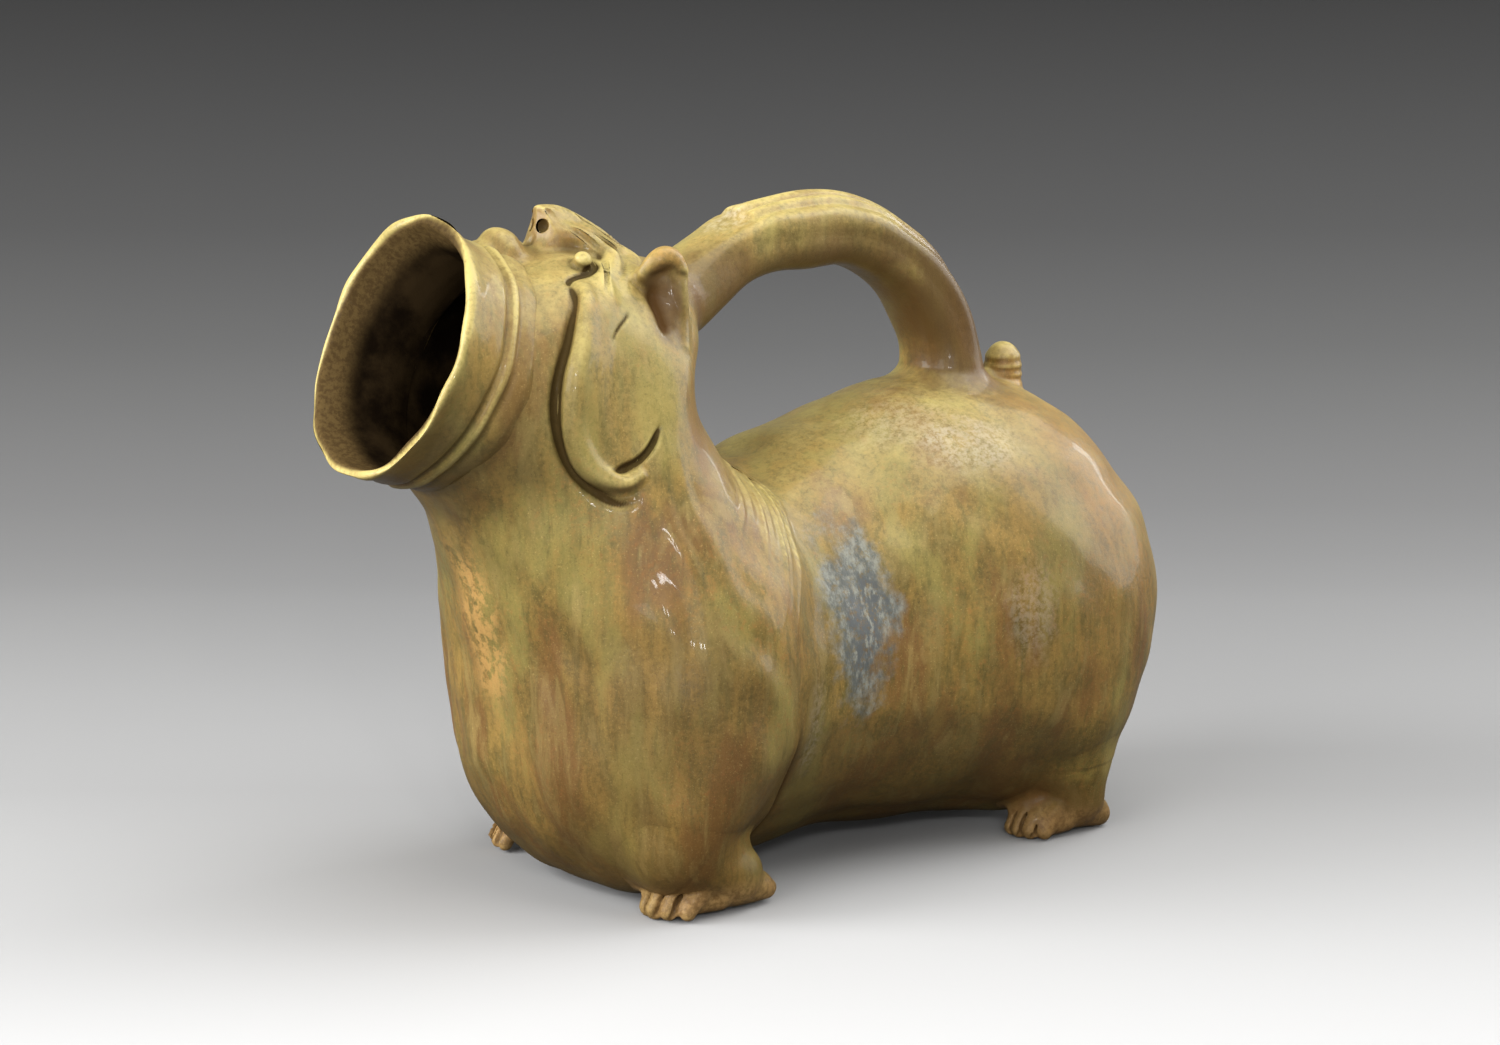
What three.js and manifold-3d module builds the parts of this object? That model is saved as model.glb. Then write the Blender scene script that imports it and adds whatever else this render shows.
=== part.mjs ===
// An animal-shaped stoneware vessel: a waisted, lying body on four paws, with a wide spout for a mouth, a
// face of pressed clay round it and an arched handle over the back. It is put together as the potter did it,
// from a rear and a front chamber, a thrown spout and small pieces luted on, each a fit gap from its seat.
// Millimetres, +Z up. The spout faces -X, the tail +X, and the paws stand on z = 0.
import * as THREE from "three";
import { mergeVertices } from "three/addons/utils/BufferGeometryUtils.js";
import Module from "manifold-3d";

const wasm = await Module();
wasm.setup();

// Driving sizes of the vessel.
const vesselLength = 239.1;
const backHeight = 121.8;
const headHeight = 165;
const bellyClearance = 2.5;
const chestWidth = 114;
const waistWidth = 93;
const rumpNarrowing = 0.8;
const rumpWidth = chestWidth - rumpNarrowing;
const neckWidth = 79;
const headWidth = 66;
const rumpDepth = 56.5;
const rumpDroop = 5;
const wall = 5;
const fitGap = 0.3;
const weldReach = 1e-4;
const cutOverrun = 4;

// The low relief on the walls.
const creaseDepth = 2.2;
const haunchSwell = 6;
const haunchAngle = THREE.MathUtils.degToRad(138);
const haunchSpread = THREE.MathUtils.degToRad(30);

// The thrown spout.
const spoutTilt = THREE.MathUtils.degToRad(23);
const spoutLength = 21;
const seatRadius = 30;
const lipRadius = 33.5;
const lipWall = 3.2;
const boreRadius = 24;
const bandHeight = 1.3;
const grooveDepth = 0.7;

// The seam where the two chambers were joined.
const seamTilt = THREE.MathUtils.degToRad(8);

// Handle and the corded strip along its crown.
const handleRise = 29;
const handleHalfWidth = 10.5;
const handleHalfDepth = 7.3;
const stripHalfWidth = 7.5;
const stripHeight = 4;
const stripGroove = 1.1;

// Face.
const snoutHalfWidth = 5.6;
const browHalfWidth = 27;
const crestHeight = 10;
const foldHeight = 0.8;
const nostrilRadius = 1.5;
const nostrilDepth = 7;
const eyeRadius = 4;
const eyeHeight = 3.2;
const noseRadius = 7.5;
const noseHeight = 5.6;
const ridgeWidth = 6.2;
const ridgeHeight = 2.6;
const earHeight = 13;
const earWidth = 13;
const earDepth = 10;
const earWall = 2.2;

// Tail.
const tailRadius = 5.1;
const tailHeight = 12.4;
const tailRib = 0.5;

// Paws.
const frontPawLength = 36;
const rearPawLength = 30;
const pawHalfWidth = 9;
const pawHeight = 10.5;
const toeRadius = 3.1;
const legHalfWidth = 8;
const frontTrack = 80;
const rearTrack = 76;
const toeCount = 4;

// How finely the curves are stepped.
const vesselRound = 36;
const vesselSteps = 38;
const hollowRound = 24;
const hollowSteps = 28;
const spoutRound = 36;

// A natural cubic spline through values at 0, 1, 2, ...
function spline(values) {
  const last = values.length - 1;
  const bend = new Array(last + 1).fill(0);
  const upper = new Array(last + 1).fill(0);
  for (let i = 1; i < last; i += 1) {
    const pivot = 4 - upper[i - 1];
    const jump = 6 * (values[i + 1] - 2 * values[i] + values[i - 1]);
    upper[i] = 1 / pivot;
    bend[i] = (jump - bend[i - 1]) / pivot;
  }
  for (let i = last - 1; i > 0; i -= 1) bend[i] -= upper[i] * bend[i + 1];
  return (t) => {
    const i = Math.min(Math.max(Math.floor(t), 0), last - 1);
    const b = t - i;
    const a = 1 - b;
    const curve = ((a ** 3 - a) * bend[i] + (b ** 3 - b) * bend[i + 1]) / 6;
    return a * values[i] + b * values[i + 1] + curve;
  };
}

// Splines through the columns of a table, each read by a share from 0 to 1 of the table's run.
function columnsOf(table) {
  const span = table.length - 1;
  return table[0].map((_, column) => {
    const curve = spline(table.map((row) => row[column]));
    return (t) => curve(t * span);
  });
}

const bump = (x, centre, spread) => Math.exp(-(((x - centre) / spread) ** 2));
const signedPower = (value, power) => Math.sign(value) * Math.abs(value) ** power;

// 0 at both ends of a run, 1 along its middle, rounded in between.
function roundEnds(t, endShare) {
  const s = Math.min(Math.min(t, 1 - t) / endShare, 1);
  return Math.sqrt(Math.max(1 - (1 - s) ** 2, 0));
}

// The vessel's sections. Each is an ellipse between a point on its top line and one on its bottom line. They
// stand upright through the rear chamber, fan round the crotch under the handle and fan back round the
// throat, so that one loft bends twice. x is a share of half the length, z a share of the height there.
const halfLength = vesselLength / 2;
const rumpX = halfLength - rumpDepth;
const rumpMiddle = (backHeight + bellyClearance) / 2;
const rumpHalfHeight = (backHeight - bellyClearance) / 2;
const domeShares = [0, 0.16, 0.36, 0.58, 0.8];
const domePower = 2 / 2.3;
const dome = domeShares.map((share) => {
  const turn = ((1 - share) * Math.PI) / 2;
  const x = rumpX + rumpDepth * Math.sin(turn) ** domePower;
  const size = share > 0 ? Math.cos(turn) ** domePower : 0;
  const middle = rumpMiddle - rumpDroop * (1 - size);
  return {
    top: [x, middle + rumpHalfHeight * size],
    bottom: [x, middle - rumpHalfHeight * size],
    half: (rumpWidth / 2) * size,
  };
});
const rumpShare = rumpX / halfLength;
const mix = (a, b, share) => (a + (b - a) * share) / 2;
const backRows = [
  { shares: [rumpShare, 1, rumpShare, 0], half: rumpWidth / 2 },
  { shares: [0.345, 0.993, 0.355, 0.008], half: mix(rumpWidth, waistWidth, 0.25) },
  { shares: [0.178, 0.942, 0.16, 0.02], half: mix(rumpWidth, waistWidth, 0.75) },
  { shares: [0.045, 0.905, 0, 0.02], half: waistWidth / 2 },
  { shares: [-0.06, 0.874, -0.158, 0], half: mix(waistWidth, chestWidth, 0.25) },
];
const chestRows = [
  { shares: [-0.112, 0.642, -0.376, -0.004], half: mix(waistWidth, chestWidth, 0.83) },
  { shares: [-0.15, 0.664, -0.528, 0.026], half: chestWidth / 2 },
  { shares: [-0.189, 0.69, -0.637, 0.121], half: mix(chestWidth, neckWidth, 0.17) },
  { shares: [-0.225, 0.726, -0.678, 0.253], half: mix(chestWidth, neckWidth, 0.4) },
  { shares: [-0.25, 0.775, -0.698, 0.375], half: mix(chestWidth, neckWidth, 0.74) },
  { shares: [-0.243, 0.843, -0.735, 0.489], half: neckWidth / 2 },
  { shares: [-0.224, 0.911, -0.762, 0.545], half: mix(neckWidth, headWidth, 0.45) },
  { shares: [-0.292, 0.963, -0.786, 0.587], half: mix(neckWidth, headWidth, 0.85) },
  { shares: [-0.426, 0.994, -0.811, 0.618], half: headWidth / 2 },
  { shares: [-0.545, 1, -0.824, 0.634], half: mix(headWidth, 2 * seatRadius, 0.5) },
];
const seatShares = [-0.738, 0.8135];
const heightAt = (share, height) => bellyClearance + share * (height - bellyClearance);
const seatX = seatShares[0] * halfLength;
const seatZ = heightAt(seatShares[1], headHeight);
const seatReach = [seatRadius * Math.sin(spoutTilt), seatRadius * Math.cos(spoutTilt)];
const seat = {
  top: [seatX + seatReach[0], seatZ + seatReach[1]],
  bottom: [seatX - seatReach[0], seatZ - seatReach[1]],
  half: seatRadius,
};
const sectionsOf = (rows, height) =>
  rows.map(({ shares, half }) => ({
    top: [shares[0] * halfLength, heightAt(shares[1], height)],
    bottom: [shares[2] * halfLength, heightAt(shares[3], height)],
    half,
  }));
const sections = [...dome, ...sectionsOf(backRows, backHeight), ...sectionsOf(chestRows, headHeight), seat];
const lastStation = sections.length - 1;
const rumpStation = dome.length;
const chestStation = dome.length + backRows.length;
const neckStation = chestStation + 5;
const topX = spline(sections.map((s) => s.top[0]));
const topZ = spline(sections.map((s) => s.top[1]));
const bottomX = spline(sections.map((s) => s.bottom[0]));
const bottomZ = spline(sections.map((s) => s.bottom[1]));
const halfWidth = spline(sections.map((s) => s.half));

// Relief on the loft: a haunch swelling over each paw, and the crease where the chambers meet.
const rearHaunch = { station: rumpStation - 0.8, reach: 1 };
const frontHaunch = { station: chestStation + 0.5, reach: 0.9 };
const crease = { station: chestStation - 0.8, reach: 0.6 };
function relief(station, angle) {
  const turn = Math.abs(Math.atan2(Math.sin(angle), Math.cos(angle)));
  const along = ({ station: centre, reach }) => bump(station, centre, reach);
  const swell = (along(rearHaunch) + along(frontHaunch)) * bump(turn, haunchAngle, haunchSpread);
  return haunchSwell * swell - creaseDepth * along(crease) * Math.sin(angle) ** 2;
}

// A point of the plain loft. The angle turns from the top line towards +Y.
function loftPoint(station, angle) {
  const t = THREE.MathUtils.clamp(station, 0, lastStation);
  const lift = (1 + Math.cos(angle)) / 2;
  const x = THREE.MathUtils.lerp(bottomX(t), topX(t), lift);
  const z = THREE.MathUtils.lerp(bottomZ(t), topZ(t), lift);
  return new THREE.Vector3(x, Math.max(halfWidth(t), 0) * Math.sin(angle), z);
}

const slopeStep = 0.02;
function loftNormal(station, angle) {
  if (station < slopeStep) return new THREE.Vector3(1, 0, 0);
  const t = Math.min(station, lastStation - slopeStep);
  const along = loftPoint(t + slopeStep, angle).sub(loftPoint(t - slopeStep, angle));
  const around = loftPoint(station, angle + slopeStep).sub(loftPoint(station, angle - slopeStep));
  return around.cross(along).normalize();
}

// A point of the vessel's outside, or of a surface that an offset raises or sinks from it.
function vesselPoint(station, angle, offset = 0) {
  const out = loftNormal(station, angle);
  return loftPoint(station, angle).addScaledVector(out, relief(station, angle) + offset);
}

const ringOf = (count, pointAt) =>
  Array.from({ length: count }, (_, i) => pointAt((2 * Math.PI * i) / count));

// A closed body through rings of points, with a fan over each end. An end ring may be a single point.
function ringBody(rings) {
  const points = rings.flat();
  const faces = [];
  const starts = rings.map((_, i) => rings.slice(0, i).reduce((sum, ring) => sum + ring.length, 0));
  const size = Math.max(...rings.map((ring) => ring.length));
  const indexOf = (ring, i) => starts[ring] + (rings[ring].length === 1 ? 0 : i % size);
  for (let ring = 0; ring + 1 < rings.length; ring += 1) {
    for (let i = 0; i < size; i += 1) {
      const [a, b] = [indexOf(ring, i), indexOf(ring, i + 1)];
      const [c, d] = [indexOf(ring + 1, i), indexOf(ring + 1, i + 1)];
      if (a !== b) faces.push(a, b, c);
      if (c !== d) faces.push(b, d, c);
    }
  }
  for (const ring of [0, rings.length - 1]) {
    if (rings[ring].length === 1) continue;
    const middle = rings[ring].reduce((sum, p) => sum.add(p), new THREE.Vector3());
    points.push(middle.divideScalar(rings[ring].length));
    for (let i = 0; i < size; i += 1) {
      const [a, b] = [indexOf(ring, i), indexOf(ring, i + 1)];
      faces.push(...(ring > 0 ? [a, b, points.length - 1] : [b, a, points.length - 1]));
    }
  }
  const geometry = new THREE.BufferGeometry();
  const positions = points.flatMap((p) => p.toArray());
  geometry.setAttribute("position", new THREE.Float32BufferAttribute(positions, 3));
  geometry.setIndex(faces);
  return solid(geometry);
}

function solid(geometry) {
  const bare = geometry.index ? geometry.toNonIndexed() : geometry.clone();
  bare.deleteAttribute("normal");
  bare.deleteAttribute("uv");
  const merged = mergeVertices(bare, weldReach);
  const vertProperties = merged.attributes.position.array;
  const make = (triVerts) => new wasm.Manifold(new wasm.Mesh({ numProp: 3, vertProperties, triVerts }));
  const triVerts = new Uint32Array(merged.index.array);
  const made = make(triVerts);
  if (made.volume() > 0) return made;
  for (let i = 0; i < triVerts.length; i += 3) {
    [triVerts[i], triVerts[i + 1]] = [triVerts[i + 1], triVerts[i]];
  }
  return make(triVerts);
}

function geometryFrom(body) {
  const mesh = body.getMesh();
  const geometry = new THREE.BufferGeometry();
  geometry.setAttribute("position", new THREE.BufferAttribute(mesh.vertProperties, 3));
  geometry.setIndex(new THREE.BufferAttribute(mesh.triVerts, 1));
  const flat = geometry.toNonIndexed();
  flat.computeVertexNormals();
  return flat;
}

// The largest solid of a cut body, without the slivers that a cut may leave.
function largest(body) {
  return body.decompose().reduce((best, part) => (part.volume() > best.volume() ? part : best));
}
const mirrored = (body) => body.mirror([0, 1, 0]);

// A sweep of a rounded section. halves(t) gives its half size across the path and outward from it.
function sweep({ path, across, halves, steps, round, power = 2 }) {
  const nudge = 1 / (8 * steps);
  const rings = Array.from({ length: steps + 1 }, (_, i) => {
    const t = i / steps;
    const along = path(Math.min(t + nudge, 1)).sub(path(Math.max(t - nudge, 0))).normalize();
    const side = across(t).addScaledVector(along, -across(t).dot(along)).normalize();
    const out = side.clone().cross(along);
    const [half, depth] = halves(t);
    return ringOf(round, (turn) =>
      path(t)
        .addScaledVector(side, half * signedPower(Math.cos(turn), 2 / power))
        .addScaledVector(out, depth * signedPower(Math.sin(turn), 2 / power)),
    );
  });
  return ringBody(rings);
}

// The vessel as a closed body, and the two chambers cut from its wall at the waist's seam.
function vesselBody(offset, overrun, steps, round) {
  const rings = [[vesselPoint(0, 0, offset)]];
  for (let i = 1; i <= steps; i += 1) {
    rings.push(ringOf(round, (angle) => vesselPoint((lastStation * i) / steps, angle, offset)));
  }
  const ahead = new THREE.Vector3(-Math.cos(spoutTilt), 0, Math.sin(spoutTilt)).multiplyScalar(overrun);
  if (overrun > 0) rings.push(rings.at(-1).map((p) => p.clone().add(ahead)));
  return ringBody(rings);
}
const vesselReach = vesselBody(fitGap, 0, vesselSteps, vesselRound);
const vesselHollow = vesselBody(-wall, cutOverrun, hollowSteps, hollowRound);
const vesselShell = vesselBody(0, 0, vesselSteps, vesselRound).subtract(vesselHollow);

const seamShare = -0.163;
function seamSide(sign) {
  const size = 2 * vesselLength;
  const block = new THREE.BoxGeometry(size, size, size);
  block.translate(sign * (size / 2 + fitGap / 2), 0, 0).rotateY(seamTilt);
  return solid(block.translate(seamShare * halfLength, 0, backHeight / 2));
}
const rearChamber = vesselShell.intersect(seamSide(1));
const frontChamber = vesselShell.intersect(seamSide(-1));

// The thrown spout, turned about its own axis: a cord between two grooves, and a flared, rounded lip.
const bandRadius = seatRadius + bandHeight;
const grooveRadius = seatRadius - grooveDepth;
const innerLip = lipRadius - lipWall;
// Each row: a radius, and how far along the spout it is.
const spoutRows = [
  [seatRadius - wall, 0],
  [seatRadius, 0],
  [grooveRadius, 0.1],
  [bandRadius, 0.17],
  [bandRadius, 0.3],
  [grooveRadius, 0.38],
  [bandRadius, 0.45],
  [bandRadius, 0.6],
  [(bandRadius + lipRadius) / 2, 0.8],
  [lipRadius, 0.95],
  [lipRadius - lipWall * 0.3, 1],
  [lipRadius - lipWall * 0.7, 0.99],
  [innerLip, 0.92],
  [(innerLip + boreRadius) / 2, 0.55],
  [boreRadius, 0.15],
];
function onSpout(profile) {
  const lathe = new THREE.LatheGeometry(profile, spoutRound).rotateX(Math.PI / 2);
  return solid(lathe.rotateY(spoutTilt - Math.PI / 2).translate(seatX, 0, seatZ));
}
const spoutRuns = spoutRows.map(([radius, share]) => [radius, fitGap + share * (spoutLength - fitGap)]);
const spoutProfile = [...spoutRuns, spoutRuns[0]].map(([radius, along]) => new THREE.Vector2(radius, along));
const spout = onSpout(spoutProfile);
const spoutReach = onSpout([
  new THREE.Vector2(0, -wall),
  new THREE.Vector2(bandRadius + fitGap, -wall),
  new THREE.Vector2(bandRadius + fitGap, spoutLength * 0.6),
  new THREE.Vector2(lipRadius + fitGap, spoutLength),
  new THREE.Vector2(0, spoutLength),
]);

// Handle: a strap from the back of the head, over the waist and down onto the rump. Each row is a share of
// the span between its roots, and of its rise above the line through them.
const handleRoots = [vesselPoint(neckStation + 1, 0), vesselPoint(rumpStation, 0)];
const handleShares = [
  [-0.13, -0.3],
  [0.04, 0.02],
  [0.187, 0.44],
  [0.324, 0.7],
  [0.462, 0.875],
  [0.622, 0.99],
  [0.765, 0.95],
  [0.887, 0.76],
  [0.966, 0.47],
  [0.998, 0.12],
  [1, -0.35],
];
const [handleAlong, handleUp] = columnsOf(handleShares);
function handlePath(t) {
  const point = handleRoots[0].clone().lerp(handleRoots[1], handleAlong(t));
  return point.setZ(point.z + handleRise * handleUp(t));
}
const rootFlare = (t) => 1 + 0.35 * bump(t, 0, 0.14) + 0.3 * bump(t, 1, 0.12);
const towardsLeft = () => new THREE.Vector3(0, -1, 0);
const handleBody = (grow) =>
  sweep({
    path: handlePath,
    across: towardsLeft,
    halves: (t) => [handleHalfWidth * rootFlare(t) + grow, handleHalfDepth * rootFlare(t) + grow],
    steps: 26,
    round: 14,
    power: 2.5,
  });
const handle = largest(handleBody(0).subtract(vesselReach));
const handleReach = handleBody(fitGap);

// The strip on the handle's crown: three cords, with a groove between each two.
const stripShares = [0.27, 0.86];
const cordCount = 3;
function stripBody() {
  const steps = 14;
  const nudge = 1 / (8 * steps);
  const rings = Array.from({ length: steps + 1 }, (_, i) => {
    const t = THREE.MathUtils.lerp(...stripShares, i / steps);
    const along = handlePath(t + nudge).sub(handlePath(t - nudge)).normalize();
    const out = towardsLeft().cross(along);
    const size = 0.35 + 0.65 * roundEnds(i / steps, 0.12);
    return ringOf(24, (turn) => {
      const c = Math.cos(turn);
      const up = Math.max(Math.sin(turn), 0) ** 0.6;
      const groove = stripGroove * (1 - Math.abs(Math.cos((cordCount * Math.PI * c) / 2 - Math.PI)));
      const down = Math.min(Math.sin(turn), 0) * handleHalfDepth * 0.5;
      const rise = (stripHeight - groove) * size * up + down;
      return handlePath(t)
        .addScaledVector(towardsLeft(), stripHalfWidth * size * c)
        .addScaledVector(out, handleHalfDepth + rise);
    });
  });
  return ringBody(rings);
}
const strip = largest(stripBody().subtract(handleReach));

// Tail: an upright, ribbed stub behind the handle's rear root.
function tailBody() {
  const rows = 16;
  const domeFrom = 0.72;
  const ribs = 3;
  const profile = [new THREE.Vector2(0, -tailHeight * 0.4)];
  for (let i = 0; i <= rows; i += 1) {
    const t = i / rows;
    const taper = t > domeFrom ? Math.sqrt(Math.max(1 - ((t - domeFrom) / (1 - domeFrom)) ** 2, 0)) : 1;
    const radius = (tailRadius + tailRib * Math.cos(2 * Math.PI * ribs * t)) * taper;
    profile.push(new THREE.Vector2(radius, tailHeight * (1.4 * t - 0.4)));
  }
  const base = vesselPoint(rumpStation - 1.15, 0);
  return solid(new THREE.LatheGeometry(profile, 16).rotateX(Math.PI / 2).translate(base.x, 0, base.z));
}
const tail = largest(tailBody().subtract(vesselReach).subtract(handleReach));

// Places on the head: a share of its run of sections, and a share of the half turn down from its top line.
const headStation = (share) => THREE.MathUtils.lerp(neckStation, lastStation, share);
const onHead = (share, turnShare, offset = 0) =>
  vesselPoint(headStation(share), -Math.PI * turnShare, offset);
const offHead = (share, turnShare) => loftNormal(headStation(share), -Math.PI * turnShare);

// Cheek ridges: a roll of clay from under the eye, down the cheek and hooked up at the jaw.
const ridgeShares = [
  [0.72, 0.24],
  [0.72, 0.33],
  [0.72, 0.41],
  [0.68, 0.5],
  [0.55, 0.58],
  [0.38, 0.622],
  [0.2, 0.608],
  [0.1, 0.565],
  [0.06, 0.52],
  [0.08, 0.49],
];
const [ridgeRun, ridgeTurn] = columnsOf(ridgeShares);
const ridgePath = (t) => onHead(ridgeRun(t), ridgeTurn(t));
function ridgeAcross(t) {
  const nudge = 0.01;
  const along = ridgePath(Math.min(t + nudge, 1)).sub(ridgePath(Math.max(t - nudge, 0)));
  return along.cross(offHead(ridgeRun(t), ridgeTurn(t)));
}
function ridgeHalves(t) {
  const size = 0.35 + 0.65 * roundEnds(t, 0.16);
  return [(ridgeWidth / 2) * size, ridgeHeight * size];
}
const ridgeBody = (grow) =>
  sweep({
    path: ridgePath,
    across: ridgeAcross,
    halves: (t) => ridgeHalves(t).map((half) => half + grow),
    steps: 20,
    round: 8,
  });

// Eyes: round pellets with a dimple, pressed on beside the snout.
const eyeShares = [0.72, 0.15];
function eyeBody(grow) {
  const radius = eyeRadius + grow;
  const height = eyeHeight + grow;
  const profile = [
    [0, -1],
    [1, -1],
    [1, 0.1],
    [0.86, 0.65],
    [0.5, 1],
    [0.3, 0.8],
    [0, 0.75],
  ].map(([across, up]) => new THREE.Vector2(across * radius, up * height));
  const upright = new THREE.Vector3(0, 1, 0);
  const turn = new THREE.Quaternion().setFromUnitVectors(upright, offHead(...eyeShares));
  const at = onHead(...eyeShares);
  return solid(new THREE.LatheGeometry(profile, 16).applyQuaternion(turn).translate(at.x, at.y, at.z));
}

// Nose knob: a flattened ball on the band, just behind the lip.
const seatTop = onHead(1, 0);
const noseBall = new THREE.SphereGeometry(noseRadius, 14, 8).scale(0.8, 1, noseHeight / noseRadius);
const noseBody = solid(noseBall.translate(seatTop.x + noseRadius * 0.1, 0, seatTop.z + noseHeight * 0.36));
const noseKnob = largest(noseBody.subtract(vesselReach).subtract(spoutReach));

// Snout and brows: one slab on top of the head, lifted at the front over two nostrils, pulled back in folds
// and wrapped down behind both eyes. Each row: share of the head's run, snout or brow width, and height.
const crestShares = [
  [0.82, 0.8, 0, 0],
  [0.812, 1, 0, 0.5],
  [0.796, 1.1, 0, 0.9],
  [0.755, 1.15, 0, 0.92],
  [0.71, 1.3, 0.05, 0.76],
  [0.655, 1.4, 0.25, 0.64],
  [0.6, 1, 0.7, 0.46],
  [0.54, 0.6, 0.8, 0.24],
  [0.48, 0.4, 0.62, 0.12],
  [0.42, 0.4, 0.35, 0.05],
];
const [crestRun, crestSnout, crestBrow, crestUp] = columnsOf(crestShares);
const foldCount = 5;
function crestBody() {
  const steps = 17;
  const rings = Array.from({ length: steps + 1 }, (_, i) => {
    const t = i / steps;
    const half = snoutHalfWidth * crestSnout(t) + browHalfWidth * Math.max(crestBrow(t), 0);
    const halfTurn = half / (headWidth / 2);
    return ringOf(24, (turn) => {
      const c = Math.cos(turn);
      const up = Math.max(Math.sin(turn), 0);
      const thin = 1 - 0.6 * Math.min(Math.abs(c) * 1.2, 1) * Math.min(crestBrow(t) + 0.2, 1);
      const fold = foldHeight * Math.cos(foldCount * Math.PI * c) * up * Math.min(4 * t, 1);
      const rise = crestHeight * Math.max(crestUp(t), 0) * thin * up ** 0.7 + fold;
      const down = (wall / 2) * Math.min(Math.sin(turn), 0);
      return vesselPoint(headStation(crestRun(t)), -halfTurn * c, rise + down);
    });
  });
  return ringBody(rings);
}
function nostril(side) {
  const front = onHead(crestShares[2][0], 0);
  const bore = new THREE.CylinderGeometry(nostrilRadius * 0.7, nostrilRadius, nostrilDepth, 10);
  const [x, y] = [front.x - nostrilDepth * 0.1, side * snoutHalfWidth * 0.48];
  return solid(bore.rotateZ(Math.PI / 2).translate(x, y, front.z + crestHeight * 0.5));
}
const faceReach = [eyeBody(fitGap), ridgeBody(fitGap)]
  .flatMap((body) => [body, mirrored(body)])
  .concat(vesselReach, spoutReach, nostril(1), nostril(-1))
  .reduce((sum, body) => sum.add(body));
const crest = largest(crestBody().subtract(faceReach));

// Ears: upright leaves of clay at the back of the head, hollowed on the side towards the face.
const earHighShares = [0.38, 0.2];
const earLowShares = [0.34, 0.325];
const earLeafShares = [0.25, 0.7, 0.95, 1, 0.95, 0.75, 0.2];
function earBody(inset, ahead) {
  const low = onHead(...earLowShares, -wall / 2);
  const high = onHead(...earHighShares).add(new THREE.Vector3(0, 0, earHeight));
  const forward = new THREE.Vector3(-0.91, -0.41, 0).multiplyScalar(ahead);
  const leaf = spline(earLeafShares);
  return sweep({
    path: (t) => low.clone().lerp(high, t).add(forward),
    across: () => new THREE.Vector3(-0.86, -0.51, 0),
    halves: (t) => {
      const size = leaf(t * (earLeafShares.length - 1));
      return [(earWidth / 2 - inset) * size, (earDepth / 2 - inset) * size];
    },
    steps: 10,
    round: 12,
  });
}
const ear = earBody(0, 0).subtract(earBody(earWall, earDepth * 0.42));

// Paws: a flat-soled foot with a heel spur and toes, and a short leg up into the haunch. Each row of the
// foot: share of its length from heel to toes, and shares of its half width and height.
const pawShares = [
  [0, 0.12, 0.5],
  [0.06, 0.35, 0.72],
  [0.18, 0.6, 0.8],
  [0.4, 0.85, 1.1],
  [0.65, 1, 1.05],
  [0.82, 1.02, 0.85],
  [0.93, 0.85, 0.6],
  [1, 0.5, 0.3],
];
const [pawAlong, pawWide, pawTall] = columnsOf(pawShares);
function pawBody(length) {
  const steps = 11;
  const rings = Array.from({ length: steps + 1 }, (_, i) => {
    const t = i / steps;
    return ringOf(12, (turn) => {
      const z = pawHeight * pawTall(t) * (0.42 + 0.58 * Math.sin(turn));
      return new THREE.Vector3(length * (0.5 - pawAlong(t)), pawHalfWidth * pawWide(t) * Math.cos(turn), z);
    });
  });
  return ringBody(rings);
}
function toe(i, length) {
  const spread = (2 * i) / (toeCount - 1) - 1;
  const shape = new THREE.SphereGeometry(toeRadius, 8, 6).scale(2.4, 1, 1.25).rotateZ(-0.25 * spread);
  const x = -length * (0.36 - 0.05 * spread ** 2);
  return solid(shape.translate(x, spread * (pawHalfWidth - toeRadius * 0.75), toeRadius * 0.95));
}
function legBody(foot, haunch) {
  const hip = vesselPoint(haunch.station, -haunchAngle, -wall);
  return sweep({
    path: (t) => foot.clone().lerp(hip, t),
    across: () => new THREE.Vector3(1, 0, 0),
    halves: (t) => [legHalfWidth * (1.15 + 0.3 * t ** 2), legHalfWidth * (0.9 + 0.35 * t ** 2)],
    steps: 4,
    round: 14,
  });
}
const floor = solid(
  new THREE.BoxGeometry(2 * vesselLength, 2 * vesselLength, vesselLength).translate(0, 0, -vesselLength / 2),
);
function paw({ placeShare, length, track, haunch }) {
  const at = [placeShare * halfLength, -track / 2, 0];
  const ankle = new THREE.Vector3(at[0] + length * 0.1, at[1], pawHeight * 0.5);
  let body = pawBody(length);
  for (let i = 0; i < toeCount; i += 1) body = body.add(toe(i, length));
  body = body.translate(at).add(legBody(ankle, haunch));
  return body.subtract(floor);
}
const frontPaw = paw({ placeShare: -0.333, length: frontPawLength, track: frontTrack, haunch: frontHaunch });
const rearPaw = paw({ placeShare: 0.644, length: rearPawLength, track: rearTrack, haunch: rearHaunch });

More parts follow.
